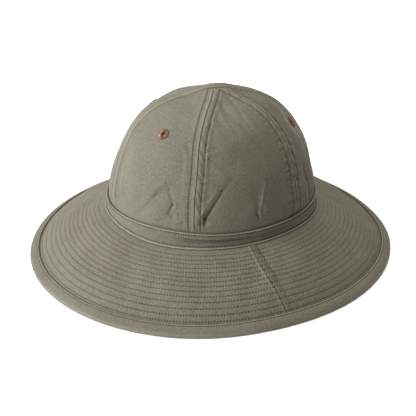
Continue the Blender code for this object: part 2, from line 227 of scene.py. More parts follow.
def addRing(name, sections, turns, radius, marks, material):
    # a closed ring through closed sections at those turns round it
    index = np.arange(sections.shape[0] * sections.shape[1]).reshape(sections.shape[:2])
    ahead = np.roll(index, -1, axis=0)
    faces = np.stack([index, ahead, np.roll(ahead, -1, axis=1), np.roll(index, -1, axis=1)], axis=-1)
    run = np.append(turns, 2 * math.pi) * radius
    across = runAlong(np.append(sections[0], sections[0][:1], axis=0))
    run = np.broadcast_to(run[:, None], (index.shape[0] + 1, index.shape[1]))
    across = np.broadcast_to(across[None], (index.shape[0], index.shape[1] + 1))
    corners = np.stack([
        np.stack([run[:-1], run[1:], run[1:], run[:-1]], axis=-1),
        np.stack([across[:, :-1], across[:, :-1], across[:, 1:], across[:, 1:]], axis=-1)], axis=-1)
    addPiece(name, sections, faces.reshape(-1, 4), corners, marks, material)


def runAlong(points):
    # metres from the first point to each point of a path
    steps = np.linalg.norm(np.diff(points, axis=0), axis=-1)
    return np.concatenate([[0], np.cumsum(steps)])


def pointsAt(places, run, points):
    # points of a path at those places along it
    return np.stack([np.interp(places, run, points[:, axis]) for axis in range(3)], axis=-1)


# Shader node groups

def newGroup(name, inputs, outputs):
    tree = bpy.data.node_groups.new(name, "ShaderNodeTree")
    for label, kind, value in inputs:
        socket = tree.interface.new_socket(label, in_out="INPUT", socket_type="NodeSocket" + kind)
        if value is not None:
            socket.default_value = value
    for label, kind in outputs:
        tree.interface.new_socket(label, in_out="OUTPUT", socket_type="NodeSocket" + kind)
    return tree, tree.nodes.new("NodeGroupInput").outputs, tree.nodes.new("NodeGroupOutput").inputs


def setSocket(tree, socket, value):
    if isinstance(value, bpy.types.NodeSocket):
        tree.links.new(value, socket)
    else:
        socket.default_value = value


def addMath(tree, operation, *values):
    node = tree.nodes.new("ShaderNodeMath")
    node.operation = operation
    for socket, value in zip(node.inputs, values):
        setSocket(tree, socket, value)
    return node.outputs[0]


def times(tree, first, second):
    return addMath(tree, "MULTIPLY", first, second)


def timesPlus(tree, first, second, third):
    # first times second, plus third
    return addMath(tree, "MULTIPLY_ADD", first, second, third)


def addNoise(tree, vector, scale, detail=2.0, rough=0.5):
    node = tree.nodes.new("ShaderNodeTexNoise")
    values = {"Vector": vector, "Scale": scale, "Detail": detail, "Roughness": rough}
    for label, value in values.items():
        setSocket(tree, node.inputs[label], value)
    return node.outputs[0]


def addRange(tree, value, low, high, toLow=0.0, toHigh=1.0):
    node = tree.nodes.new("ShaderNodeMapRange")
    node.interpolation_type = "SMOOTHSTEP"
    for socket, number in zip(node.inputs, (value, low, high, toLow, toHigh)):
        setSocket(tree, socket, number)
    return node.outputs[0]


def addMix(tree, factor, first, second, blend="MIX"):
    node = tree.nodes.new("ShaderNodeMix")
    node.data_type = "RGBA"
    node.blend_type = blend
    setSocket(tree, node.inputs[0], factor)
    setSocket(tree, node.inputs[6], first)
    setSocket(tree, node.inputs[7], second)
    return node.outputs[2]


def addScaled(tree, vector, scale):
    node = tree.nodes.new("ShaderNodeVectorMath")
    node.operation = "MULTIPLY"
    setSocket(tree, node.inputs[0], vector)
    setSocket(tree, node.inputs[1], scale)
    return node.outputs[0]


def putOut(tree, result, **values):
    for label, value in values.items():
        tree.links.new(value, result[label])


weaving = {
    "drift": 260.0,           # of the ribs, in waves to the metre
    "wander": 9.0,            # how far they stray with it
    "threadLength": 1.5,      # in rib pitches
    "threadStep": 0.37,       # from one rib's threads to the next one's
    "threadDepth": 0.35,
    "slubs": (900.0, 110.0, 1.0),
    "ribRange": (-1.0, 0.9),
    "threadRange": (-1.0, 1.0),
}


def makeTwillGroup():
    # slanting ribs of a twill, broken into short threads, on a cloth laid out in metres
    tree, given, result = newGroup(
        "twill weave",
        [("Place", "Vector", None), ("Rib Pitch", "Float", 0.0006), ("Rib Turn", "Float", 0.9),
         ("Unevenness", "Float", 0.3)],
        [("Height", "Float"), ("Threads", "Float"), ("Slubs", "Float")])
    drift = addNoise(tree, given["Place"], weaving["drift"], 2.0)
    split = tree.nodes.new("ShaderNodeSeparateXYZ")
    tree.links.new(given["Place"], split.inputs[0])
    across, up = split.outputs[0], split.outputs[1]
    cosine = addMath(tree, "COSINE", given["Rib Turn"])
    sine = addMath(tree, "SINE", given["Rib Turn"])
    ribPlace = addMath(tree, "ADD", times(tree, across, cosine), times(tree, up, sine))
    threadPlace = addMath(tree, "SUBTRACT", times(tree, across, sine), times(tree, up, cosine))
    wander = times(tree, addMath(tree, "SUBTRACT", drift, 0.5),
                   times(tree, given["Unevenness"], weaving["wander"]))
    ribTurns = addMath(tree, "DIVIDE", ribPlace, given["Rib Pitch"])
    ribWave = addMath(tree, "SINE", timesPlus(tree, ribTurns, 2 * math.pi, wander))
    threadPitch = times(tree, given["Rib Pitch"], weaving["threadLength"])
    threadTurns = addMath(tree, "DIVIDE", threadPlace, threadPitch)
    shifted = addMath(tree, "ADD", threadTurns, times(tree, ribTurns, weaving["threadStep"]))
    threadWave = addMath(tree, "SINE", timesPlus(tree, shifted, 2 * math.pi, wander))
    ribs = addRange(tree, ribWave, *weaving["ribRange"])
    threads = addRange(tree, threadWave, *weaving["threadRange"])
    depth = weaving["threadDepth"]
    height = times(tree, ribs, timesPlus(tree, threads, depth, 1 - depth))
    slubs = addNoise(tree, addScaled(tree, given["Place"], weaving["slubs"]), 1.0, 3.0, 0.6)
    putOut(tree, result, Height=height, Threads=ribs, Slubs=slubs)
    return tree


needling = {
    "nearRange": (0.45, 0.95),         # how near a row is for a hole to show
    "gapRange": (-0.4, 1.0),  # of the wave along the row, at the gaps
    "sunkRange": (0.4, -1.0),          # and under the stitches
}


def makeSewingGroup():
    # the cloth is drawn down at each needle hole and swells between two of them
    tree, given, result = newGroup(
        "needle holes",
        [("Stitch Turn", "Float", 0.0), ("Nearness", "Float", 0.0), ("Hole Share", "Float", 0.3)],
        [("Height", "Float"), ("Holes", "Float"), ("Gaps", "Float"), ("Sunk", "Float")])
    wave = addMath(tree, "COSINE", times(tree, given["Stitch Turn"], 2 * math.pi))
    holeStart = addMath(tree, "SUBTRACT", 1.0, times(tree, given["Hole Share"], 2.0))
    hole = addRange(tree, wave, holeStart, 1.0)
    height = times(tree, times(tree, wave, -0.5), given["Nearness"])
    close = addRange(tree, given["Nearness"], *needling["nearRange"])
    # masks for the painted shade at the holes, the painted highlight on the gaps between them and the painted
    # shadow under the stitches
    holes = times(tree, hole, close)
    gaps = times(tree, addRange(tree, wave, *needling["gapRange"]), close)
    sunk = times(tree, addRange(tree, wave, *needling["sunkRange"]), close)
    putOut(tree, result, Height=height, Holes=holes, Gaps=gaps, Sunk=sunk)
    return tree


washing = {
    "patches": 16.0,          # of faded and fresher cloth, in waves to the metre
    "patchRange": (0.3, 0.7),
    "grain": 420.0,
    "rubbedRange": (0.3, 0.65, 0.35, 1.0),      # of the grain, and how much of the wear and painted highlight shows in it
    "roughSpread": 0.16,
}


def makeFadingGroup():
    # washed and worn cloth: paler where it rubs and where highlight is painted, with painted shade in its
    # grooves and furrows, uneven all over
    tree, given, result = newGroup(
        "washed colour",
        [("Cloth Colour", "Color", (0.2, 0.2, 0.15, 1)), ("Pale Colour", "Color", (0.4, 0.4, 0.3, 1)),
         ("Deep Colour", "Color", (0.05, 0.05, 0.04, 1)), ("Place", "Vector", None),
         ("Wear", "Float", 0.0), ("Shade", "Float", 0.0), ("Fading", "Float", 0.4),
         ("Base Roughness", "Float", 0.85)],
        [("Colour", "Color"), ("Roughness", "Float")])
    patches = addNoise(tree, given["Place"], washing["patches"], 3.0, 0.55)
    grain = addNoise(tree, given["Place"], washing["grain"], 3.0, 0.7)
    patchy = addRange(tree, patches, *washing["patchRange"])
    rubbed = times(tree, given["Wear"], addRange(tree, grain, *washing["rubbedRange"]))
    pale = timesPlus(tree, addMath(tree, "SUBTRACT", patchy, 0.5), times(tree, given["Fading"], 0.5), rubbed)
    mixed = addMix(tree, pale, given["Cloth Colour"], given["Pale Colour"])
    deep = addMix(tree, given["Shade"], mixed, given["Deep Colour"])
    spread = washing["roughSpread"]
    rough = timesPlus(tree, grain, spread, addMath(tree, "SUBTRACT", given["Base Roughness"], spread / 2))
    putOut(tree, result, Colour=deep, Roughness=rough)
    return tree


twillGroup = makeTwillGroup()
sewingGroup = makeSewingGroup()
fadingGroup = makeFadingGroup()


# Materials

oliveTwill = {
    "colour": (0.0885, 0.0830, 0.0600),
    # the pale colour serves rubbed cloth and painted highlight, and the colour after it is painted shade
    "pale": (0.195, 0.187, 0.139),
    "deep": (0.014, 0.012, 0.008),
    "roughness": 0.86,
    "sheen": 0.05,
    "sheenRoughness": 0.5,
    "specular": 0.18,
    "ribPitch": 0.00062,
    "weaveHeight": 0.00007,
    "unevenness": 0.25,
    "heather": (820.0, 430.0, 1.0),     # of its mixed yarns, in waves to the metre
    "yarns": 0.28,            # how much darker or paler they are than the cloth
    "yarnRange": (0.30, 0.70),
    "yarnShare": 0.7,         # of the unevenness, and the rest is the weave's
    "slubShare": 0.55,
    "threadShare": 0.35,
    "threadRange": (0.15, 0.85),
    "needleHeight": 0.00016,
    "holeShare": 0.14,        # of a stitch's length
    # painted shade in the needle holes
    "paintedHoleShade": 0.25,
    "lumps": 90.0,            # soft lumps, in waves to the metre
    "lumpHeight": 0.00012,
    "swells": 42.0,           # longer ones, on slack cloth alone
    "fading": 0.45,
}


def addGroup(tree, group, **values):
    node = tree.nodes.new("ShaderNodeGroup")
    node.node_tree = group
    for label, value in values.items():
        spaced = "".join(" " + letter if letter.isupper() else letter for letter in label).strip()
        setSocket(tree, node.inputs[spaced], value)
    return node.outputs


def newMaterial(name):
    material = bpy.data.materials.new(name)
    material.use_nodes = True
    tree = material.node_tree
    return material, tree, tree.nodes["Principled BSDF"].inputs


def tinted(colour, factor=1.0):
    return tuple(factor * value for value in colour) + (1,)


def readPlaces(tree):
    # the place on the flat cloth, and the place in space
    layout = tree.nodes.new("ShaderNodeUVMap")
    layout.uv_map = "cloth"
    return layout.outputs[0], tree.nodes.new("ShaderNodeTexCoord").outputs["Object"]


def linkBump(tree, height, shader):
    relief = tree.nodes.new("ShaderNodeBump")
    relief.inputs["Distance"].default_value = 1.0
    tree.links.new(height, relief.inputs["Height"])
    tree.links.new(relief.outputs[0], shader["Normal"])


def readMark(tree, name):
    node = tree.nodes.new("ShaderNodeAttribute")
    node.attribute_name = name
    return node.outputs["Fac"]


def makeCloth(name, ribTurn, softLumps=0.0, paintedGapHighlight=0.0, threadShade=0.0):
    look = oliveTwill
    material, tree, shader = newMaterial(name)
    layout, place = readPlaces(tree)
    weave = addGroup(tree, twillGroup, Place=layout, RibPitch=look["ribPitch"], RibTurn=ribTurn,
                     Unevenness=look["unevenness"])
    sewn = addGroup(tree, sewingGroup, StitchTurn=readMark(tree, "stitchTurn"),
                    Nearness=readMark(tree, "stitchNear"), HoleShare=look["holeShare"])
    threads = timesPlus(tree, weave["Slubs"], look["slubShare"],
                        times(tree, weave["Threads"], look["threadShare"]))
    heather = addNoise(tree, addScaled(tree, layout, look["heather"]), 1.0, 2.0, 0.6)
    heather = addRange(tree, heather, *look["yarnRange"])
    woven = times(tree, addRange(tree, threads, *look["threadRange"]), 1 - look["yarnShare"])
    uneven = timesPlus(tree, heather, look["yarnShare"], woven)
    mixed = addMix(tree, uneven, tinted(look["colour"], 1 - look["yarns"]),
                   tinted(look["colour"], 1 + look["yarns"]))
    # painted highlight on the puckers between the stitches, painted shade in the needle holes, and the
    # thread's painted soft shadow
    shade = addMath(tree, "MAXIMUM", readMark(tree, "shade"), times(tree, sewn["Holes"], look["paintedHoleShade"]))
    shade = addMath(tree, "MAXIMUM", shade, times(tree, sewn["Sunk"], threadShade))
    shade = times(tree, shade, timesPlus(tree, sewn["Gaps"], -paintedGapHighlight, 1.0))
    wear = timesPlus(tree, sewn["Gaps"], paintedGapHighlight, readMark(tree, "wear"))
    washed = addGroup(tree, fadingGroup, ClothColour=mixed, PaleColour=tinted(look["pale"]),
                      DeepColour=tinted(look["deep"]), Place=place, Wear=wear, Shade=shade,
                      Fading=look["fading"], BaseRoughness=look["roughness"])
    tree.links.new(washed["Colour"], shader["Base Color"])
    tree.links.new(washed["Roughness"], shader["Roughness"])
    shader["Sheen Weight"].default_value = look["sheen"]
    shader["Sheen Roughness"].default_value = look["sheenRoughness"]
    shader["Specular IOR Level"].default_value = look["specular"]
    lumps = addNoise(tree, place, look["lumps"], 2.0)
    height = times(tree, weave["Height"], look["weaveHeight"])
    height = timesPlus(tree, sewn["Height"], look["needleHeight"], height)
    height = timesPlus(tree, lumps, look["lumpHeight"], height)
    height = timesPlus(tree, addNoise(tree, place, look["swells"], 1.0), softLumps, height)
    linkBump(tree, height, shader)
    return material


seamThread = {
    "colour": (0.056, 0.0165, 0.0070),
    "worn": (0.110, 0.045, 0.024),
    # colour of the thread's painted shade
    "dark": (0.006, 0.004, 0.003),
    "paintedPlyShade": 0.6,      # painted shade between the plies: how much darker the thread is painted there
    "roughness": 0.70,
    "roughSpread": 0.2,
    "specular": 0.2,
    "rubbedRange": (0.42, 0.75),       # of its fuzz
    "twistPitch": 0.00034,    # of the plies, along the thread
    "twistHeight": 0.00004,
}


def makeThread(name, colour, worn, roughness, fuzzScale=700.0, rubbing=0.6):
    material, tree, shader = newMaterial(name)
    layout, place = readPlaces(tree)
    split = tree.nodes.new("ShaderNodeSeparateXYZ")
    tree.links.new(layout, split.inputs[0])
    turns = addMath(tree, "DIVIDE", addMath(tree, "ADD", split.outputs[0], split.outputs[1]),
                    seamThread["twistPitch"])
    wave = addMath(tree, "SINE", times(tree, turns, 2 * math.pi))
    twist = timesPlus(tree, wave, 0.5, 0.5)
    plies = addMix(tree, twist, tinted(colour, seamThread["paintedPlyShade"]), tinted(colour))
    fuzz = addNoise(tree, place, fuzzScale, 3.0, 0.65)
    rubbed = times(tree, addRange(tree, fuzz, *seamThread["rubbedRange"]), rubbing)
    thread = addMix(tree, rubbed, plies, tinted(worn))
    # darker where its shade mark is set: painted shade inside the eyelet's hole and on the band's and
    # binding's rows, the eyelet's darker rim and the brim's fresher thread
    shaded = addMix(tree, readMark(tree, "shade"), thread, tinted(seamThread["dark"]))
    tree.links.new(shaded, shader["Base Color"])
    spread = seamThread["roughSpread"]
    tree.links.new(timesPlus(tree, fuzz, spread, roughness - spread / 2), shader["Roughness"])
    shader["Specular IOR Level"].default_value = seamThread["specular"]
    linkBump(tree, times(tree, twist, seamThread["twistHeight"]), shader)
    return material


crownCloth = makeCloth("olive twill of the crown", 0.90, softLumps=0.0024, paintedGapHighlight=0.06, threadShade=0.20)
bandCloth = makeCloth("olive twill of the band", 0.60, paintedGapHighlight=0.75, threadShade=0.85)
brimCloth = makeCloth("olive twill of the brim", 0.75)
bindingCloth = makeCloth("bias cut twill of the binding", 1.50)
brownThread = makeThread("brown sewing thread", seamThread["colour"], seamThread["worn"],
                         seamThread["roughness"])
print("materials made")


# Stitches, gathered row by row and joined into a few pieces

sewing = {
    # length of one stitch and its gap, share of it where the thread shows, width and darkness, painted shade
    # on the band's and binding's rows
    "crown": {"pitch": 0.00255, "share": 0.66, "width": 0.00110, "shade": 0.0},
    "band": {"pitch": 0.00223, "share": 0.50, "width": 0.00215, "shade": 0.85},
    "brim": {"pitch": 0.00246, "share": 0.48, "width": 0.00105, "shade": 0.0},
    "binding": {"pitch": 0.00220, "share": 0.58, "width": 0.00110, "shade": 0.5},
    "flatness": 0.55,
    # on the brim the thread is fresher round this angle
    "freshAt": 72.0,
    "freshSpread": 48.0,
    "freshShade": 0.50,
    "freshWidth": 0.38,
    # and thinner round these, each with its spread
    "wornAt": ((152.0, 32.0), (-40.0, 24.0)),
    "wornWidth": 0.42,
    "slant": 5.0,             # of each stitch against its row, in degrees
    "slantSpread": 2.0,
    "lengthSpread": 0.05,
    "aimStep": 0.3,           # of a stitch to each side, for its direction
    # share of the length, share of the thickness, and height above the cloth in thicknesses
    "section": ((-0.56, 0.0, -0.40), (-0.38, 0.85, -0.08), (0.0, 1.0, 0.04), (0.38, 0.85, -0.08),
                (0.56, 0.0, -0.40)),
    "sides": 5,
    "sidesUnder": 4,          # of the stitches inside and on the underside
    "insideGap": 0.0002,      # past the wall, to the stitches inside
}


def stitchCount(path, kind):
    return max(int(round(runAlong(path)[-1] / sewing[kind]["pitch"])), 1)


def countAlong(path, kind):
    # how many stitches lie before each point of a path
    run = runAlong(path)
    return run / run[-1] * stitchCount(path, kind)


def sewRow(path, normals, kind):
    # one row of stitches, evenly spaced along a path on the cloth's face
    look, run, count = sewing[kind], runAlong(path), stitchCount(path, kind)
    places = (np.arange(count) + 0.5) * run[-1] / count
    step = run[-1] / count * sewing["aimStep"]
    along = normalized(pointsAt(places + step, run, path) - pointsAt(places - step, run, path))
    up = normalized(pointsAt(places, run, normals))
    side = normalized(np.cross(up, along))
    return {"at": pointsAt(places, run, path), "along": np.cross(side, up), "side": side, "up": up,
            "length": np.full(count, look["share"] * look["pitch"]),
            "width": np.full(count, look["width"]), "shade": np.full(count, look["shade"])}


def freshenRow(row):
    # darker and fuller thread on one side of the brim
    angle = np.degrees(np.arctan2(row["at"][:, 0], -row["at"][:, 1]))
    fresh = bumpAt(angle, sewing["freshAt"], sewing["freshSpread"])
    worn = sum(bumpAt(angle, place, spread) for place, spread in sewing["wornAt"])
    width = row["width"] * (1 + sewing["freshWidth"] * fresh) * (1 - sewing["wornWidth"] * worn)
    return dict(row, shade=sewing["freshShade"] * fresh, width=width)


def stitchFaces(sides):
    # a point at each end and three rings between them
    faces = []
    last = 1 + 2 * sides
    for spoke in range(sides):
        after = (spoke + 1) % sides
        faces.append((0, 1 + after, 1 + spoke))
        for start in (1, 1 + sides):
            faces.append((start + spoke, start + after, start + sides + after, start + sides + spoke))
        faces.append((last + spoke, last + after, last + sides))
    return faces


def addStitches(name, rows, seed, sides):
    # short arches of thread whose ends sink into the cloth
    at, along, side, up, length, width, shade = (
        np.concatenate([row[key] for row in rows])
        for key in ("at", "along", "side", "up", "length", "width", "shade"))
    rng = np.random.default_rng(seed)
    count = len(at)
    slant = np.radians(sewing["slant"] + rng.normal(0, sewing["slantSpread"], count))[:, None]
    along, side = (along * np.cos(slant) + side * np.sin(slant),
                   side * np.cos(slant) - along * np.sin(slant))
    length = (length * (1 + rng.normal(0, sewing["lengthSpread"], count)))[:, None]
    width = width[:, None]
    turns = 2 * math.pi * np.arange(sides) / sides
    rings, flat = [], []
    for share, thick, height in sewing["section"]:
        middle = at + along * (share * length) + up * (height * width)
        for turn in turns if thick else turns[:1]:
            spoke = side * math.cos(turn) + up * math.sin(turn) * sewing["flatness"]
            rings.append(middle + spoke * (thick * width / 2))
            flat.append((share * length[0, 0], turn * width[0, 0] / 2))
    points = np.stack(rings, axis=1)
    each = points.shape[1]
    faces = stitchFaces(sides)
    corners = np.array(flat)[[place for face in faces for place in face]]
    listed = [[place + start for place in face] for start in range(0, count * each, each) for face in faces]
    mesh = bpy.data.meshes.new(name)
    mesh.from_pydata(points.reshape(-1, 3).tolist(), [], listed)
    writeMarks(mesh, np.tile(corners, (count, 1)), {"shade": np.repeat(shade, each)})
    addObject(name, mesh, brownThread)


# Crown

gap = 0.0003                  # between pieces that touch

crown = {
    "length": 0.1963,         # front to back over the band's top edge
    "width": 0.1859,
    "height": 0.0955,         # above the band's top edge
    "back": 0.0008,
    "wall": 0.0012,
    "bandPinch": 12.0,        # climb over which it swells out above the band
    "foldDepth": 0.0030,
    "foldFade": 0.6,
    "foldStart": 6.0,
    "lumps": 0.00008,         # soft unevenness of the cloth
    "lumpLength": 0.018,
    "rows": (190, 190, 150, 110, 110, 110),     # of each panel's mesh
    "columns": (100, 100, 70, 40, 40, 40),      # between its two seams' strips
    # millimetres from each seam to the columns beside it, and the most of a panel that they take
    "nearSeam": (0.02, 0.2, 0.4, 0.7, 1.2, 2.2, 3.0, 3.8, 4.4, 4.8, 5.1, 5.4, 5.8, 6.2, 6.8, 7.6, 8.6, 9.8),
    "nearShare": 0.42,
    "topClimb": 89.9,
    "innerRise": 0.0010,      # the most of its relief that shows inside
    "innerShare": 0.8,
    "laidOut": 1.04,          # length of the flat cloth against a plain round
    "creaseShade": 0.55,
    "ridgeWearAndHighlight": 0.55,
    "bandShade": (0.25, 0.35),       # painted shade in the gap above the band, on the lit side and on the dark side
    "darkSide": (80, 20, 300, 20),
    "bandShadeSpread": 0.9,
}

# How far the dome stands out from a plain quarter oval, and how far its middle drifts,
# for every 15 degrees of climb.
crownProfile = {
    "spacing": 15.0,
    "fullness": (1.000, 0.965, 0.980, 1.002, 0.995, 0.972, 1.000),
    "back": (0.000, 0.004, 0.021, 0.024, 0.039, 0.050, 0.057),
    "side": (0.000, -0.009, -0.004, -0.009, -0.016, -0.024, -0.052),
}

crownSeams = {
    "angles": (4, 60.2, 118.7, 179.7, 240, 300),
    "turns": (-23.6, -2.5, 5.6, -1.6, 0, -5),     # on their way to the top
    "bows": (3.0, 0.5, -0.8, -1.0, 0, 0),         # half way up
    "long": (0, 3),           # these two run on over the top as one
    "row": 0.0051,            # each side's stitches, from the seam
    "edge": 0.0068,           # where the doubled cloth ends
    "step": 0.0034,
    "raise": 0.00050,
    "swell": 0.00034,         # of the doubled cloth beside the groove
    "start": 1.5,             # climb by which all this is at its full height
    # marks: strength, distance from the seam and spread; the shades are painted shade, and the wear is partly
    # painted highlight
    "groove": (0.0006, 0.0, 0.00026),
    "grooveShade": (0.75, 0.0, 0.00030),
    "wear": (0.50, 0.0016, 0.0012),
    # and the same from its rows of stitches
    "furrow": (0.00038, 0.0, 0.00075),
    "rowWearAndHighlight": (0.30, 0.0013, 0.0007),
    "rowShade": (0.70, 0.36, 0.45, 0.36, 0.36, 0.36),
    "rowShadeWidth": 0.0006,
    "needleWidth": 0.0011,
    "rowClimbs": (0.4, 89.4, 400),    # from, to and points
    "rowEnds": (1.05, 1.12),  # how far the long seams' rows and the others stay from the long seams
    "pucker": 0.00034,
    "puckerLength": 0.0068,
    "puckerMark": (0.6, 0.0074, 0.0028),
    "puckerShade": 0.22,
    "beads": 0.62,            # of the doubled cloth, for each pucker
    "beadSlant": 0.008,
    "beadMark": (1.0, 0.0028, 0.0022),
    "puckerFade": (0.6, 0.66, 0.28),     # how much is lost towards the top, from where and over what
    "puckering": ((0.3, 0.5), (0.5, 1.7), (2.4, 2.4), (1.3, 1.3), (1.0, 1.0), (0.6, 0.6)),
}

# Folds and dents, from one end to the other. Rises and widths are shares of the crown's
# height, depths are shares of the fold depth, and a negative depth is a ridge.
crownFolds = tableRows("angle rise angleTo riseTo width depth", [
    (64, 0.06, 75, 0.38, 0.040, 0.25),
    (96, 0.00, 93, 0.25, 0.045, 0.40),
    (97, 0.10, 99, 0.38, 0.050, -0.30),
    (111, 0.00, 107, 0.14, 0.035, 0.40),
    (48, 0.12, 46, 0.32, 0.040, 0.40),
    (30, 0.08, 45, 0.36, 0.055, 0.25),
    (77, 0.90, 98, 0.54, 0.080, 0.45),
    (134.5, 0.03, 132.5, 0.38, 0.045, 0.45),
    (147, 0.86, 145, 0.16, 0.055, -0.50),
    (42, 0.30, 42, 0.60, 0.450, 0.40),
    (132, 0.30, 132, 0.60, 0.450, -0.40),
    (208, 0.05, 216, 0.42, 0.060, 0.55),
    (262, 0.00, 270, 0.36, 0.060, 0.60),
    (282, 0.45, 268, 0.80, 0.090, 0.40),
    (322, 0.04, 315, 0.30, 0.055, 0.45),
])

# Narrow creases, with painted shade along their bottoms and paler ridges, partly rubbed and partly painted
# highlight, some more than others. They are measured as the folds are.
crownCreases = tableRows("angle rise angleTo riseTo width depth wear", [
    (65.3, 0.120, 74.2, 0.355, 0.0105, 0.60),
    (65.5, 0.130, 65.2, 0.015, 0.0120, 0.75),
    (63.0, 0.140, 70.8, 0.360, 0.016, -0.22),
    (74.2, 0.355, 79.0, 0.460, 0.020, 0.12),
    (96.2, 0.258, 98.2, 0.370, 0.013, -0.28),
    (96.2, 0.258, 94.4, 0.136, 0.011, -0.36),
    (94.4, 0.136, 96.4, 0.010, 0.010, -0.40),
    (92.6, 0.120, 93.4, 0.230, 0.010, 0.34),
    (92.6, 0.120, 94.6, 0.010, 0.010, 0.40),
    (77.5, 0.934, 92.0, 0.814, 0.020, 0.22),
    (92.0, 0.814, 101.5, 0.648, 0.022, 0.18),
    (101.5, 0.648, 104.5, 0.559, 0.020, 0.10),
    (100.0, 0.958, 95.5, 0.854, 0.018, 0.18),
    (73.5, 0.902, 82.5, 0.794, 0.020, -0.20),
    (100.5, 0.850, 105.5, 0.655, 0.022, -0.18),
    (65.0, 0.823, 67.5, 0.784, 0.015, 0.22),
    (64.5, 0.619, 63.8, 0.559, 0.014, -0.22),
    (68.5, 0.567, 76.5, 0.467, 0.022, -0.16),
    (111.5, 0.435, 109.5, 0.400, 0.018, 0.16),
    (106.5, 0.387, 105.0, 0.440, 0.014, -0.14),
    (98.2, 0.373, 94.2, 0.516, 0.022, -0.10),
    (110.4, 0.024, 106.5, 0.143, 0.010, -0.26),
    (111.1, 0.001, 108.9, 0.080, 0.008, 0.26),
    (105.0, 0.199, 103.7, 0.463, 0.045, 0.14),
    (140.8, 0.205, 138.3, 0.405, 0.016, -0.34),
    (143.4, 0.780, 149.0, 0.860, 0.018, -0.46, 2.0),
    (141.4, 0.725, 143.4, 0.780, 0.020, -0.50, 2.2),
    (141.4, 0.725, 140.0, 0.590, 0.022, -0.46, 2.2),
    (140.0, 0.590, 138.3, 0.405, 0.022, -0.38, 1.8),
    (150.0, 0.620, 145.0, 0.400, 0.055, -0.06, 6.0),
    (140.8, 0.205, 140.6, 0.030, 0.016, -0.30),
    (135.5, 0.211, 132.3, 0.374, 0.015, 0.42),
    (135.5, 0.211, 134.4, 0.043, 0.015, 0.42),
    (142.3, 0.004, 141.8, 0.150, 0.014, 0.36),
    (129.0, 0.036, 129.4, 0.194, 0.013, 0.30),
    (37.0, 0.266, 27.5, 0.070, 0.016, 0.20),
    (37.0, 0.266, 43.0, 0.371, 0.015, 0.18),
    (34.6, 0.285, 40.5, 0.390, 0.020, -0.16),
    (48.0, 0.218, 43.5, 0.365, 0.013, 0.24),
    (48.0, 0.218, 46.0, 0.140, 0.012, 0.34),
    (49.8, 0.225, 48.0, 0.150, 0.013, -0.20),
    (51.5, 0.150, 52.5, 0.100, 0.010, 0.26),
    (54.0, 0.060, 53.0, 0.020, 0.010, 0.30),
    (51.7, 0.620, 54.5, 0.100, 0.022, -0.24),
    (52.8, 0.640, 50.3, 0.707, 0.015, 0.24),
    (10.7, 0.177, 6.0, 0.386, 0.016, -0.28),
    (40.2, 0.038, 44.5, 0.101, 0.013, 0.22),
    (51.4, 0.039, 54.7, 0.084, 0.013, 0.22),
    (204, 0.020, 211, 0.260, 0.015, 0.36),
    (247, 0.010, 251, 0.200, 0.015, 0.30),
    (264, 0.010, 269, 0.300, 0.017, 0.36),
    (324, 0.020, 317, 0.240, 0.015, 0.32),
])

panelNames = ("FrontLeft", "SideLeft", "BackLeft", "BackRight", "SideRight", "FrontRight")

eyelets = {
    "radius": 0.0048,
    "hole": 0.0013,
    "thread": 0.0007,         # height of the stitched ring
    "wraps": 30,              # threads laid round the ring
    "wrapPoints": 6,          # of the mesh for each
    "wobble": ((0.05, 5, 2), (0.03, 13, 6)),     # of its rim: share, waves and kind of wave
    "grooves": (0.00012, 0.00028),    # how deep the threads part, across and in height
    "calm": 2.6,              # the cloth lies flat this many radii out
    "unworn": 0.8,            # and creases leave no pale ridge this many radii out
    "paintedHoleShade": (0.50, 0.12),      # where the painted shade that stands for the hole ends and over what, in radii
    "rimShade": 0.55,
    # angle and climb
    "places": {"FrontLeft": (29.1, 47.3), "BackLeft": (147.3, 44.5),
               "BackRight": (213.7, 45), "FrontRight": (308.0, 47)},
}


def profileValue(column, climb):
    rows = crownProfile[column]
    rows = np.array([2 * rows[0] - rows[1], *rows, 2 * rows[-1] - rows[-2]])
    place = climb / crownProfile["spacing"]
    index = np.minimum(place.astype(int), len(rows) - 4)
    return curveBetween(rows[index], rows[index + 1], rows[index + 2], rows[index + 3], place - index)


def crownMiddle(climb):
    side = crown["height"] * profileValue("side", climb)
    back = crown["back"] + crown["height"] * profileValue("back", climb)
    return np.stack([side, back, np.zeros_like(side)], axis=-1)


def crownBase(angle, climb):
    # the plain dome, without folds
    fullness = profileValue("fullness", climb)
    reach, rise = fullness * np.cos(np.radians(climb)), fullness * np.sin(np.radians(climb))
    underBand = 2 * (band["wall"] + gap) * (1 - ease(climb / crown["bandPinch"]))
    level = bandTop(angle) * (1 - rise) + (brim["drop"] + gap + band["height"]) * rise
    oval = ovalPoints(crown["length"] * reach - underBand, crown["width"] * reach - underBand,
                      angle, level + crown["height"] * rise)
    return crownMiddle(climb) + oval


def crownNormal(angle, climb):
    step, least = 0.5, 1e-12
    across = crownBase(angle + step, climb) - crownBase(angle - step, climb)
    up = crownBase(angle, np.minimum(climb + step, 90)) - crownBase(angle, np.maximum(climb - step, 0))
    normal = np.cross(across, up)
    length = np.linalg.norm(normal, axis=-1, keepdims=True)
    return np.where(length > least, normal / np.maximum(length, least), (0, 0, 1))


def ringRadius(climb):
    radius = (crown["length"] + crown["width"]) / 4
    return radius * profileValue("fullness", climb) * np.cos(np.radians(climb))


def seamAngle(index, climb):
    start, turn, bow = (crownSeams[label][index % len(panelNames)] for label in ("angles", "turns", "bows"))
    return start + turn * np.sin(np.radians(climb)) + bow * np.sin(np.radians(2 * climb))


def seamAcross(index, angle, climb):
    # metres from a seam, above zero on its later side
    turn = np.radians(spreadTurn(angle, seamAngle(index, climb)))
    return ringRadius(climb) * np.sin(np.clip(turn, -math.pi / 2, math.pi / 2))


def seamDistance(index, angle, climb):
    return np.abs(seamAcross(index, angle, climb))


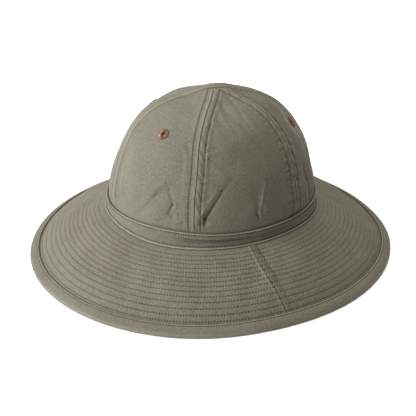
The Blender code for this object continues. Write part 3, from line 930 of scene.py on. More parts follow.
def eyeletDistance(angle, climb):
    # metres from the nearest eyelet's middle
    nearest = np.inf
    for place, height in eyelets["places"].values():
        across = np.radians(spreadTurn(angle, place)) * ringRadius(climb)
        nearest = np.minimum(nearest, np.hypot(across, np.radians(climb - height) * crown["height"]))
    return nearest


def foldRelief(folds, angle, climb):
    # the height that folds and creases give the cloth, with their painted shade and their wear and painted
    # highlight
    rise = profileValue("fullness", climb) * np.sin(np.radians(climb))
    scale = ringRadius(climb) / crown["height"]
    lift, dark, pale = 0.0, 0.0, 0.0
    for fold in folds:
        startX = np.radians(spreadTurn(angle, fold["angle"])) * scale
        startY = rise - fold["rise"]
        alongX = math.radians(fold["angleTo"] - fold["angle"]) * scale
        alongY = fold["riseTo"] - fold["rise"]
        share = np.clip((startX * alongX + startY * alongY) / (alongX ** 2 + alongY ** 2), 0, 1)
        away = np.hypot(startX - alongX * share, startY - alongY * share)
        strength = fold["depth"] * (1 - crown["foldFade"] * share)
        depth = strength * bump(away, fold["width"])
        lift = lift - crown["foldDepth"] * depth
        dark = np.maximum(dark, depth)
        pale = np.maximum(pale, -depth * fold.get("wear", crown["ridgeWearAndHighlight"]))
    return lift, dark, pale


def seamRelief(across, along, index):
    # height, painted shade, and wear with painted highlight of the cloth beside one seam
    look = crownSeams
    distance = np.abs(across)
    past = distance - look["row"]
    strip = 1 - ease((distance - look["edge"]) / look["step"])
    lift = look["raise"] * strip - mark(distance, *look["groove"]) - mark(past, *look["furrow"])
    lift = lift + look["swell"] * np.cos(math.pi / 2 * np.clip(distance / look["row"], 0, 1)) ** 2
    fade, fadeFrom, fadeOver = look["puckerFade"]
    before, after = look["puckering"][index]
    slack = np.where(across > 0, after, before)
    slack = slack * (1 - fade * ease((along / crown["height"] - fadeFrom) / fadeOver))
    place = along / look["puckerLength"]
    beads = ripple(look["beads"] * place + distance / look["beadSlant"], index + 7)
    puckers = ripple(place, index + 1) * mark(distance, *look["puckerMark"])
    pucker = look["pucker"] * slack * (puckers + beads * mark(distance, *look["beadMark"]))
    shade = highest(mark(distance, *look["grooveShade"]),
                    mark(past, look["rowShade"][index], 0, look["rowShadeWidth"]),
                    np.clip(-pucker / look["pucker"], 0, 1) * look["puckerShade"])
    wear = mark(past, *look["rowWearAndHighlight"]) + mark(distance, *look["wear"])
    return lift + pucker, shade, wear


def crownRelief(angle, climb):
    # all that lies on the plain dome: folds, creases, seams, puckers and soft lumps
    along = np.radians(climb) * crown["height"]
    across = [seamAcross(index, angle, climb) for index in range(len(panelNames))]
    first, second = crownSeams["long"]
    nearer = np.where(np.abs(across[first]) < np.abs(across[second]), across[first], across[second])
    lift, shade, wear = seamRelief(nearer, along, first)
    bare = ease((np.abs(nearer) - crownSeams["edge"]) / crownSeams["step"])
    for index in range(len(panelNames)):
        if index not in crownSeams["long"]:
            more, darker, paler = seamRelief(across[index], along, index)
            lift = lift + more * bare
            shade, wear = np.maximum(shade, darker * bare), np.maximum(wear, paler * bare)
    lumps = crown["lumps"] * cloud(crownBase(angle, climb), crown["lumpLength"], 5)
    folds, _, _ = foldRelief(crownFolds, angle, climb)
    creases, dark, pale = foldRelief(crownCreases, angle, climb)
    eyelet = eyeletDistance(angle, climb) / eyelets["radius"]
    grown = ease(climb / crown["foldStart"])
    loose = grown * (1 - np.exp(-(eyelet / eyelets["calm"]) ** 4))     # stitching keeps the cloth flat there
    start = ease(climb / crownSeams["start"])
    lift = lift * start + (folds + creases + lumps) * loose
    # painted shade in the gap above the band, and painted shade that stands for the eyelets' holes
    bandShade = pairAt(crown["bandShade"], between(angle, *crown["darkSide"]))
    holeEdge, holeFade = eyelets["paintedHoleShade"]
    shade = highest(shade * start, crown["creaseShade"] * dark * loose,
                    bandShade * bump(climb, crown["bandShadeSpread"]),
                    1 - ease((eyelet - holeEdge) / holeFade))
    pale = pale * grown * (1 - bump(eyelet, eyelets["unworn"]))
    return lift, shade, np.maximum(wear * start, pale)


def crownSkin(angle, climb, depth, lift):
    normal = crownNormal(angle, climb)
    level = climb[..., None] <= 0
    flat = np.where(level, normal * (1, 1, 0), normal)
    return crownBase(angle, climb) + normalized(flat) * (lift - depth)[..., None]


def panelColumns(index, climb):
    # angle of each column, from the seam on one side to the seam on the other
    start, end = seamAngle(index, climb), seamAngle(index + 1, climb)
    width = (end - start) % 360
    metres = np.radians(width) * ringRadius(climb)
    near = np.array(crown["nearSeam"]) / 1000
    squeeze = np.minimum(1, crown["nearShare"] * metres / near[-1])
    lead = near[None] * squeeze[:, None]
    shares = np.linspace(0, 1, crown["columns"][index] + 1)[1:-1]
    middle = lead[:, -1:] + (metres[:, None] - 2 * lead[:, -1:]) * shares[None]
    distance = np.concatenate([lead, middle, metres[:, None] - lead[:, ::-1]], axis=1)
    angle = start[:, None] + np.degrees(distance / ringRadius(climb)[:, None])
    return angle, distance - metres[:, None] / 2


def seamPath(index, side):
    # the path of one row of stitches, from the band up, with the cloth's normals
    row = crownSeams["row"]
    longEnd, otherEnd = crownSeams["rowEnds"]
    climb = np.linspace(*crownSeams["rowClimbs"])
    away = np.degrees(np.arcsin(np.minimum(row / ringRadius(climb), 1)))
    angle = seamAngle(index, climb) + side * away
    if index in crownSeams["long"]:
        keep = ringRadius(climb) > row * longEnd
    else:
        first, second = (seamDistance(other, angle, climb) for other in crownSeams["long"])
        keep = np.minimum(first, second) > row * otherEnd
    angle, climb = angle[keep], climb[keep]
    lift, _, _ = crownRelief(angle, climb)
    return crownSkin(angle, climb, 0, lift), crownNormal(angle, climb), climb


def makePanel(index):
    climb = np.concatenate([[0.0], np.linspace(0, crown["topClimb"], crown["rows"][index])])
    angle, offset = panelColumns(index, climb)
    climb = np.broadcast_to(climb[:, None], angle.shape).copy()
    lift, shade, wear = crownRelief(angle, climb)
    outer = crownSkin(angle, climb, 0, lift)
    inner = crownSkin(angle, climb, crown["wall"], np.minimum(lift, crown["innerRise"]) * crown["innerShare"])
    for skin, depth in ((outer, 0.0), (inner, crown["wall"])):       # the edge that the band holds
        skin[0] = crownBase(angle[0], climb[0]) + outwards(angle[0]) * (band["flare"] / 2 - depth)
        skin[0, :, 2] = bandBottom(angle[0])
    up = np.radians(climb) * crown["height"] * crown["laidOut"]
    up[0] = -band["height"]
    turn, near = np.zeros_like(angle), np.zeros_like(angle)
    half = angle.shape[1] // 2
    for seam, side, part in ((index, 1, np.s_[:, :half]), (index + 1, -1, np.s_[:, half:])):
        path, _, pathClimb = seamPath(seam % len(panelNames), side)
        turn[part] = np.interp(climb[part], pathClimb, countAlong(path, "crown"))
        away = seamDistance(seam, angle[part], climb[part]) - crownSeams["row"]
        near[part] = bump(away, crownSeams["needleWidth"]) * (climb[part] < pathClimb[-1])
    marks = {"shade": shade, "wear": wear, "stitchTurn": turn, "stitchNear": near}
    layout = np.stack([offset, up], axis=-1)
    addWall("crownPanel" + panelNames[index], outer, inner, layout, marks, crownCloth)


# Band

band = {
    "height": 0.0129,
    "wall": 0.0012,
    "flare": 0.0032,          # how much wider the lower edge is than the top edge
    "stitchRows": (0.128, 0.872),
    "pulled": (0.74, 1.0),    # how hard each row's stitches draw the cloth
    "needleWidth": 0.0014,
    "columns": 420,
    "rowPoints": 1801,
    # soft crease along the middle, where the band is slack; spans are from, over, to and over
    "crease": 0.0013,
    "creaseSpan": (47.0, 10.0, 92.0, 14.0),
    "creaseLeast": 0.12,      # of it all round
    "creaseWidth": 0.085,
    "creaseLine": 0.50,
    "creaseRise": (0.06, 70, 24),      # how much higher it runs towards the front, from where and over what
    "creaseSway": (0.02, 40),
    "bulge": (0.0005, 0.20, 0.12),     # of the cloth over the crease
    "endAngle": 92.6,         # where its end overlaps its start
    "endColumns": (-0.6, 0.3, 10),
    "endRaise": 0.0003,
    "endStep": 1.2,
    "endFade": (3, 14),
    "ribs": 0.00018,
    "ribSpan": (88.0, 8.0, 150.0, 12.0),
    "ribsLeast": 0.4,
    "ribTurn": 2.6,           # degrees from one slanting rib to the next
    "ribSlant": 1.1,
    "plainBelow": 0.0006,     # the folds that far under the face take no relief
    "rolls": ((0.042, 0.032), (0.965, 0.026)),     # the tops of its two edges, paler: rubbed and painted highlight
    "rollWearAndHighlight": (0.9, 1.4),   # on the lit side and on the dark side
    "darkSide": (84, 16, 300, 20),
    # painted shade along its rows, over the lower row, under the crease and on its folds inside
    "furrowShade": (0.14, 0.70),
    "furrowWidth": 0.0006,
    "lowShade": (0.15, 0.150, 0.045),      # over the lower row, on the dark side
    "creaseShade": (0.45, 0.46, 0.13),
    "creaseShadeSpan": (47.0, 10.0, 122.0, 20.0),
    "insideShade": 0.5,
}

# The two edges rise and sink a little round the hat, in shares of the band's height.
bandLine = {
    "angle": (0, 40, 75, 110, 145, 200, 255, 310),
    "lower": (0.16, -0.08, 0.00, 0.11, -0.08, 0.04, 0.00, -0.05),
    "upper": (-0.06, 0.09, -0.05, 0.00, -0.05, 0.03, -0.04, 0.02),
}

# Its section: share of the height, and metres above its plain face.
bandSection = {
    "lowerFold": [(0.020, -0.00120), (-0.010, -0.00080), (-0.022, -0.00020), (-0.018, 0.00040)],
    "face": [
        (0.000, 0.00085), (0.022, 0.00100), (0.046, 0.00078), (0.072, 0.00030), (0.100, -0.00006),
        (0.128, -0.00020), (0.160, -0.00008), (0.210, 0.00006), (0.300, 0.00010), (0.400, 0.00004),
        (0.470, 0.00000), (0.540, 0.00000), (0.600, 0.00004), (0.700, 0.00010), (0.790, 0.00006),
        (0.840, -0.00008), (0.872, -0.00022), (0.892, -0.00012), (0.912, 0.00008), (0.934, 0.00036),
        (0.956, 0.00056), (0.982, 0.00050), (1.000, 0.00018)],
    "upperFold": [(1.006, -0.00030), (1.000, -0.00080), (0.980, -0.00120), (0.660, -0.00120),
                  (0.330, -0.00120)],
}


def tableValue(starts, rows, angle):
    # smooth value of a table whose rows go round the hat
    starts, rows = np.array(starts), np.array(rows)
    angle = np.asarray(angle, float) % 360
    index = np.searchsorted(starts, angle, side="right") - 1
    count = len(starts)
    width = (starts[(index + 1) % count] - starts[index]) % 360
    values = [rows[(index + step) % count] for step in (-1, 0, 1, 2)]
    return curveBetween(*values, (angle - starts[index]) / width)


def bandLift(column, angle):
    return band["height"] * tableValue(bandLine["angle"], bandLine[column], angle)


def bandBottom(angle):
    return brim["drop"] + gap + bandLift("lower", angle)


def bandTop(angle):
    return brim["drop"] + gap + band["height"] + bandLift("upper", angle)


def bandPoints(angle, share, out):
    # share 0 is the band's lower edge and 1 its top edge; out is above its plain face
    top = ovalPoints(crown["length"], crown["width"], angle, 0.0) + crownMiddle(np.zeros_like(angle * 1.0))
    away = np.asarray(band["flare"] / 2 * (1 - share) + out)
    points = top + outwards(angle) * away[..., None]
    points[..., 2] = bandBottom(angle) + share * (bandTop(angle) - bandBottom(angle))
    return points


def bandOut(angle, share, out):
    # crease, slanting ribs and the overlapped end
    slack = between(angle, *band["creaseSpan"])
    rise, riseFrom, riseOver = band["creaseRise"]
    sway, swayTurn = band["creaseSway"]
    line = band["creaseLine"] + rise * ease((riseFrom - angle) / riseOver)
    line = line + sway * ripple(angle / swayTurn, 2)
    crease = band["crease"] * (band["creaseLeast"] + slack) * bump(share - line, band["creaseWidth"])
    bulge = slack * mark(share - line, *band["bulge"])
    past = spreadTurn(angle, band["endAngle"])
    fadeFrom, fadeOver = band["endFade"]
    end = band["endRaise"] * ease(past / band["endStep"] + 1) * (1 - ease((past - fadeFrom) / fadeOver))
    ribbed = band["ribsLeast"] + between(angle, *band["ribSpan"])
    ribs = band["ribs"] * ribbed * ripple(angle / band["ribTurn"] + share * band["ribSlant"], 3)
    ribs = ribs * np.sin(math.pi * np.clip(share, 0, 1))
    face = np.clip(out / band["plainBelow"] + 1, 0, 1)
    return out + (end + bulge - crease + ribs) * face


def bandRow(share):
    angle = np.linspace(0, 360, band["rowPoints"])
    shares, outs = zip(*bandSection["face"])
    out = bandOut(angle, share, np.interp(share, shares, outs))
    return angle, bandPoints(angle, share, out)


def makeBand():
    angles = np.sort(np.concatenate([np.linspace(0, 360, band["columns"], endpoint=False),
                                     band["endAngle"] + np.linspace(*band["endColumns"])]))
    share, out = np.array(sum(bandSection.values(), [])).T
    angle, share = np.broadcast_arrays(angles[:, None], share[None])
    sections = bandPoints(angle, share, bandOut(angle, share, np.broadcast_to(out, share.shape)))
    inner = out[None] < -band["plainBelow"]
    turn, near = np.zeros(angle.shape), np.zeros(angle.shape)
    for row, pulled in zip(band["stitchRows"], band["pulled"]):
        rowAngle, path = bandRow(row)
        closer = pulled * bump((share - row) * band["height"], band["needleWidth"]) * ~inner
        turn = np.where(closer > near, np.interp(angle, rowAngle, countAlong(path, "band")), turn)
        near = np.maximum(near, closer)
    near[[0, -1]] = 0         # the count of stitches starts anew there
    # paler tops of the edges, rubbed and painted highlight; painted shade in the furrows, under the crease
    # and inside
    rolls = sum(bump(share - place, width) for place, width in band["rolls"])
    dark = between(angle, *band["darkSide"])
    strength = pairAt(band["furrowShade"], dark)
    furrows = sum(mark((share - row) * band["height"], strength, 0, band["furrowWidth"])
                  for row in band["stitchRows"])
    furrows = furrows + dark * mark(share, *band["lowShade"])
    crease = between(angle, *band["creaseShadeSpan"]) * mark(share, *band["creaseShade"])
    shade = np.where(inner, band["insideShade"], np.maximum(furrows, crease) * (1 - rolls))
    wear = np.where(inner, 0.0, pairAt(band["rollWearAndHighlight"], dark) * rolls)
    marks = {"shade": shade, "wear": wear, "stitchTurn": turn, "stitchNear": near}
    radius = (crown["length"] + crown["width"]) / 4
    addRing("hatBand", sections, np.radians(angles), radius, marks, bandCloth)


# Brim

brim = {
    "length": 0.3423,         # front to back over the binding, before the reach below
    "width": 0.3246,
    "drop": 0.0392,           # from the band's lower edge to the floor
    "wall": 0.0020,
    "arch": 0.30,             # how much steeper it gets on its way out
    "wave": 0.0012,
    "dip": (0.0014, 0.885, 0.085),     # just inside its edge, which lies flatter
    "dipEnd": 0.1,
    # rows of stitches, as shares of the way from the band to the edge
    "rows": (0.093, 0.153, 0.206, 0.262, 0.320, 0.380, 0.434,
             0.490, 0.549, 0.610, 0.672, 0.740, 0.804, 0.863),
    "furrow": 0.00007,
    "furrowWidth": 0.0008,
    "swell": 0.00006,         # of the cloth between two rows
    "swellWidth": 0.0016,
    "needleWidth": 0.0011,
    "rowPoints": 2161,
    "lumps": 0.00030,
    "lumpLength": 0.030,
    "start": 0.015,           # share of the way out by which its relief is at full height
    "underShare": 0.4,        # of the relief that shows underneath
    # where it runs under the binding: shares of the way out, then marks
    "edgeCalm": (0.004, 0.006),
    "edgeGroove": (0.0003, -0.0005, 0.0007),
    # painted shadow along the binding's inner edge
    "edgeShade": 0.80,
    "edgeShadePlace": (-0.0002, 0.0004),
    "edgeShadeLoss": (0.45, -12, 40),      # how much less, at what angle and how far round
    # painted shade where the brim meets the band
    "bandShade": (0.7, 0.0, 0.0009),
    # rows of its mesh, as shares, and millimetres from each row of stitches
    "startShares": (-1.0, 0.0, 0.008, 0.02, 0.04, 0.06),
    "rowSteps": (-1.4, -0.8, -0.4, 0.0, 0.4, 0.8, 1.4, 2.2),
    "endShares": (0.890, 0.894, 0.898, 0.902, 0.906, 0.910, 0.916, 0.930, 0.950, 0.975, 1.0),
    "run": 81.5,              # millimetres from the band to the edge
    "columns": 180,
    "nearSeam": (0.0, 0.2, 0.45, 0.8, 1.2, 1.8, 2.5, 3.2, 3.8, 4.4, 5.0, 5.6, 6.2, 7.0, 8.2),
    "halfRun": 400.0,         # millimetres round half the brim, half way out
    "trim": 0.03,             # degrees from a half's edge to the seam
}

# The seam between the halves. A mark has its strength, distance from the seam and spread, and a pair of
# painted shades is at the band and at the edge; the ridge's wear is partly painted highlight.
brimSeam = {
    "from": 87.9,             # its angle at the band
    "to": 91.2,               # and at the edge
    "sway": (0.3, 0.05),      # degrees, and where on the way out it starts
    "turning": (0.35, 0.4),   # where on the way out the shades change, and over what
    "groove": (0.00035, 0.0, 0.0005),
    "grooveShade": (0.18, 0.58),
    "grooveShadeWidth": 0.00045,
    "ridge": (0.00030, -0.0016, 0.0011),
    "ridgeWearAndHighlight": (0.30, -0.0018, 0.0011),
    "doubled": (0.0036, 0.0052, 0.0034),     # width of the doubled cloth at the band, half way, at the edge
    "doubledEnds": (0.0008, 0.0010),
    "doubledRaise": 0.00030,
    "doubledShade": (0.32, 0.12),
    "doubledUneven": (0.4, 5),
    # past the doubled cloth
    "step": (0.00020, 0.0004, 0.0006),
    "stepShade": (0.52, 0.20),
    "stepShadePlace": (0.0003, 0.0006),
}

# How far its edge reaches past a plain oval, as shares of its size.
brimReach = {
    "angle": (0, 30, 60, 90, 120, 150, 180, 210, 240, 270, 300, 330),
    "reach": (0.0061, 0.0107, 0.0130, -0.0051, 0.0043, 0.0088,
              -0.0090, -0.0085, -0.0011, -0.0017, -0.0094, -0.0048),
}

# Soft waves of the brim, as shares of the wave height, strongest half way out.
brimWaves = tableRows("angle spread lift", [
    (91, 9, 1.0),
    (128, 18, -0.7),
    (52, 20, 0.5),
    (10, 22, -0.6),
    (205, 24, 0.7),
    (271, 12, 0.9),
    (318, 20, 0.5),
])


def brimEdge(angle, inset):
    # the edge over the floor, that far inside the outer face of its binding
    reach = 1 + tableValue(brimReach["angle"], brimReach["reach"], angle)
    return ovalPoints(brim["length"] * reach - 2 * inset, brim["width"] * reach - 2 * inset, angle, 0.0)


def brimBase(angle, share):
    # its plain top face: share 0 is at the band and 1 at its edge
    inner = bandPoints(angle, 0.0, 0.0)
    outer = brimEdge(angle, binding["wall"] + 2 * gap)
    points = inner + (outer - inner) * share[..., None]
    edge = brim["wall"] + binding["wall"] + gap
    slope = 1 - share + brim["arch"] * share * (1 - share)
    wave = sum(brim["wave"] * row["lift"] * bumpAt(angle, row["angle"], row["spread"]) for row in brimWaves)
    dip = mark(share, *brim["dip"]) * ease((1 - share) / brim["dipEnd"])
    drop = (bandBottom(angle) - gap - edge) * slope
    points[..., 2] = edge + drop + wave * np.sin(math.pi * share) ** 2 - dip
    return points


def brimNormal(angle, share):
    turn, step = 1, 0.02
    across = brimBase(angle + turn, share) - brimBase(angle - turn, share)
    out = brimBase(angle, np.minimum(share + step, 1)) - brimBase(angle, np.maximum(share - step, 0))
    return normalized(np.cross(out, across))


def brimRun(angle):
    # metres from the band to the edge
    across = brimBase(angle, np.ones_like(angle)) - brimBase(angle, np.zeros_like(angle))
    return np.linalg.norm(across, axis=-1)


def seamLine(share):
    # angle of the seam on the wearer's left, and the other is opposite
    sway, start = brimSeam["sway"]
    return pairAt((brimSeam["from"], brimSeam["to"]), share) - sway * np.sin(2 * math.pi * (share - start))


def brimSeamRelief(across, share):
    # height, painted shade, and wear with painted highlight of the cloth beside a seam, above zero on its
    # doubled side
    look = brimSeam
    start, middle, end = look["doubled"]
    past = across - start - (end - start) * share - (2 * middle - start - end) * 2 * share * (1 - share)
    doubled = ease(across / look["doubledEnds"][0]) * (1 - ease(past / look["doubledEnds"][1]))
    lift = look["doubledRaise"] * doubled + mark(across, *look["ridge"])
    lift = lift - mark(across, *look["groove"]) - mark(past, *look["step"])
    turned = ease((share - look["turning"][0]) / look["turning"][1])
    grooveShade, stepShade, doubledShade = (
        pairAt(look[label], turned) for label in ("grooveShade", "stepShade", "doubledShade"))
    uneven, waves = look["doubledUneven"]
    shade = highest(mark(across, grooveShade, 0, look["grooveShadeWidth"]),
                    mark(past, stepShade, *look["stepShadePlace"]),
                    doubledShade * doubled * (1 + uneven * ripple(share * waves, 2)))
    return lift, shade, mark(across, *look["ridgeWearAndHighlight"])


def brimRelief(angle, share):
    # furrows of the stitch rows, the two seams and soft lumps
    base = brimBase(angle, share)
    run = brimRun(angle)
    radius = np.linalg.norm(base[..., :2], axis=-1)
    lift = brim["lumps"] * cloud(base, brim["lumpLength"], 11) * np.sin(math.pi * np.clip(share, 0, 1))
    nearest = np.min([np.abs(share - row) for row in brim["rows"]], axis=0) * run
    lift = lift - brim["furrow"] * bump(nearest, brim["furrowWidth"])
    lift = lift + brim["swell"] * (1 - bump(nearest, brim["swellWidth"]))
    shade, wear = 0.0, 0.0
    for line, side in ((seamLine(share), 1), (-seamLine(share), -1)):
        across = np.radians(spreadTurn(angle, line)) * radius * side
        more, darker, paler = brimSeamRelief(across, share)
        lift, shade, wear = lift + more, np.maximum(shade, darker), np.maximum(wear, paler)
    past = share - 1 + binding["width"] / run
    calmAt, calmOver = brim["edgeCalm"]
    lift = lift * (1 - ease((past + calmAt) / calmOver)) - mark(past * run, *brim["edgeGroove"])
    loss, lossAt, lossSpread = brim["edgeShadeLoss"]
    edgeShade = brim["edgeShade"] - loss * bumpAt(angle, lossAt, lossSpread)
    shade = highest(shade, mark(past * run, edgeShade, *brim["edgeShadePlace"]),
                    mark(share * run, *brim["bandShade"]))
    return lift * ease(share / brim["start"]), shade, wear


def brimSkin(angle, share, depth, lift):
    # points that far under the top face; a share below 0 is under the band
    use = np.maximum(share, 0)
    normal = np.where((use <= 0)[..., None], (0, 0, 1), brimNormal(angle, use))
    points = brimBase(angle, use) + normal * np.asarray(lift - depth)[..., None]
    under = bandPoints(angle, np.zeros_like(use), -(band["wall"] + gap + crown["wall"]))
    under[..., 2] = brimBase(angle, np.zeros_like(use))[..., 2] - depth
    return np.where((share < 0)[..., None], under, points)


def brimRow(share, under=False):
    # the path of one row of stitches all the way round, with the cloth's normals
    angle = np.linspace(0, 360, brim["rowPoints"])
    share = np.full_like(angle, share)
    lift, _, _ = brimRelief(angle, share)
    normal = brimNormal(angle, share)
    if under:
        return angle, brimSkin(angle, share, brim["wall"], -brim["underShare"] * lift), -normal
    return angle, brimSkin(angle, share, 0, lift), normal


def brimGrid(front):
    # angle and share of each point of one half's mesh
    shares = [*brim["startShares"]]
    for row in brim["rows"]:
        shares += [row + step / brim["run"] for step in brim["rowSteps"]]
    shares = np.array([*shares, *brim["endShares"]])
    close = np.array(brim["nearSeam"]) / brim["halfRun"]
    middle = np.linspace(close[-1], 1 - close[-1], brim["columns"])[1:-1]
    steps = np.concatenate([close, middle, 1 - close[::-1]])
    edge, trim = seamLine(np.maximum(shares, 0))[:, None], brim["trim"]
    start, end = (-edge, edge) if front else (edge, 360 - edge)
    angle = start + trim + (end - start - 2 * trim) * steps[None]
    return angle, np.broadcast_to(shares[:, None], angle.shape).copy()


def makeBrimHalf(name, front):
    angle, share = brimGrid(front)
    use = np.maximum(share, 0)
    lift, shade, wear = brimRelief(angle, use)
    top = brimSkin(angle, share, 0, lift)
    under = brimSkin(angle, share, brim["wall"], -brim["underShare"] * lift)
    turn, near = np.zeros_like(angle), np.zeros_like(angle)
    run = brimRun(angle)
    for row in brim["rows"]:
        rowAngle, path, _ = brimRow(row)
        counted = countAlong(path, "brim")
        closer = bump((share - row) * run, brim["needleWidth"])
        here = np.interp(angle % 360, rowAngle, counted) - np.where(angle < 0, counted[-1], 0)
        turn = np.where(closer > near, here, turn)
        near = np.maximum(near, closer)
    marks = {"shade": shade, "wear": wear, "stitchTurn": turn, "stitchNear": near}
    addWall(name, top, under, brimBase(angle, use)[..., :2], marks, brimCloth)


# Binding

binding = {
    "width": 0.0079,
    "wall": 0.0010,
    "land": 0.0018,           # flat strip under it that the hat rests on
    "row": 0.0011,            # its stitches, from its inner edge
    "rowPoints": 2161,
    "needleWidth": 0.0009,
    "columns": 440,
    # metres from its inner edge to the points of a leg, and how many of them the lower leg has
    "legSteps": (0.0, 0.0003, 0.0007, 0.0011, 0.0015, 0.0022, 0.0032, 0.0044, 0.0056, 0.0066),
    "lowerSteps": 8,
    "lowerShare": 0.4,        # of the top leg's relief
    "foldTurns": (70, 45, 20, -10, -40, -65),
    "foldInset": 1.1,         # in walls
    "tuck": 0.0003,
    # marks: strength, distance from its inner edge and spread
    "roll": (0.00022, 0.0005, 0.0007),
    "rollUneven": (0.25, 7),
    "pucker": (0.00012, 0.0050, 0.0042),
    "puckerTurn": 2.1,        # degrees from one to the next
    "puckerSlant": 90,
    "wearAndHighlightPlace": (0.0003, 0.0005),
    # and from its stitches
    "furrow": (0.00025, 0.0001, 0.0004),
    "rowShade": (0.4, 0.0001, 0.0003),
    # the two ends of the side seen most: angle and spread, and the wear and painted highlight along its inner
    # edge all round and at each
    "leftEnd": (-12, 36),
    "rightEnd": (126, 40),
    "wear": (0.70, 0.30, 0.70),
    # painted shade over its top leg at the left end
    "leftShade": 0.09,
    "leftShadeFrom": 0.0011,
    "foldWearAndHighlight": (0.36, 0.10),          # wear and painted highlight on its outer fold, away from the left end and at it
    # painted shade where it tucks under the brim
    "tuckShade": 0.9,
}


def bindingOut(angle, metres):
    # height of the top leg above its plain face, metres out from its inner edge
    uneven, rollTurn = binding["rollUneven"]
    roll = mark(metres, *binding["roll"]) * (1 + uneven * ripple(angle / rollTurn, 8))
    wave = ripple(angle / binding["puckerTurn"] + metres * binding["puckerSlant"], 4)
    return roll - mark(metres - binding["row"], *binding["furrow"]) + wave * mark(metres, *binding["pucker"])


def bindingShare(angle, metres):
    return 1 - (binding["width"] - metres) / brimRun(angle)


def bindingLeg(angle, metres, under=False):
    # points on the top leg, or on the leg under the brim
    share, out = bindingShare(angle, metres), bindingOut(angle, metres)
    if under:
        depth = brim["wall"] + gap + binding["wall"]
        return brimSkin(angle, share, depth + binding["lowerShare"] * out, 0)
    return brimSkin(angle, share, -(gap + binding["wall"]), out)


def bindingRow(under=False):
    angle = np.linspace(0, 360, binding["rowPoints"])
    normal = brimNormal(angle, bindingShare(angle, binding["row"]))
    return bindingLeg(angle, binding["row"], under), -normal if under else normal


def makeBinding():
    angle = np.linspace(0, 360, binding["columns"], endpoint=False)
    wall, steps = binding["wall"], binding["legSteps"]
    rim, aside = brimEdge(angle, 0.0), outwards(angle)
    upper = [bindingLeg(angle, step) for step in steps]
    edge = brimSkin(angle, np.ones_like(angle), -(gap + wall), 0)
    fold = []
    for turn in np.radians(binding["foldTurns"]):
        point = rim - aside * (wall * binding["foldInset"] * (1 - math.cos(turn)))
        point[:, 2] = edge[:, 2] / 2 * (1 + math.sin(turn))
        fold.append(point)
    heel, toe = rim - aside * wall, rim - aside * (wall + binding["land"])
    lower = [bindingLeg(angle, step, under=True) for step in reversed(steps[:binding["lowerSteps"]])]
    tuck = [brimSkin(angle, bindingShare(angle, binding["tuck"]), depth, 0)
            for depth in (brim["wall"] + gap, -gap)]
    sections = np.stack(upper + fold + [heel, toe] + lower + tuck, axis=1)
    shade, wear, near = (np.zeros(sections.shape[:2]) for _ in range(3))
    path = bindingRow()[0]
    counted = np.interp(angle, np.linspace(0, 360, len(path)), countAlong(path, "binding"))
    turns = np.repeat(counted[:, None], sections.shape[1], axis=1)
    # painted shade along its stitches and at the left end, and wear with painted highlight along its edges
    left, right = bumpAt(angle, *binding["leftEnd"]), bumpAt(angle, *binding["rightEnd"])
    everywhere, atLeft, atRight = binding["wear"]
    for place, step in enumerate(steps):
        past = step - binding["row"]
        near[:, place] = bump(past, binding["needleWidth"])
        leftShade = binding["leftShade"] * ease(step / binding["leftShadeFrom"] - 1) * left
        shade[:, place] = mark(past, *binding["rowShade"]) + leftShade
        wear[:, place] = mark(step, everywhere + atLeft * left + atRight * right, *binding["wearAndHighlightPlace"])
    near[[0, -1]] = 0         # the count of stitches starts anew there
    wear[:, len(upper) + 1:len(upper) + len(fold)] = pairAt(binding["foldWearAndHighlight"], left)[:, None]
    shade[:, -len(tuck):] = binding["tuckShade"]
    marks = {"shade": shade, "wear": wear, "stitchTurn": turns, "stitchNear": near}
    radius = (brim["length"] + brim["width"]) / 4
    addRing("edgeBinding", sections, np.radians(angle), radius, marks, bindingCloth)


for number in range(len(panelNames)):
    makePanel(number)
print("crown made")
makeBand()
print("band made")
makeBrimHalf("brimFront", True)
makeBrimHalf("brimBack", False)
print("brim made")
makeBinding()
print("binding made")


# Eyelets

eyeletThread = {
    "colour": (0.088, 0.036, 0.017),
    "worn": (0.320, 0.172, 0.100),
    "roughness": 0.62,
    "fuzzScale": 330.0,
    "rubbing": 0.9,
}
copperThread = makeThread("copper brown eyelet thread", **eyeletThread)


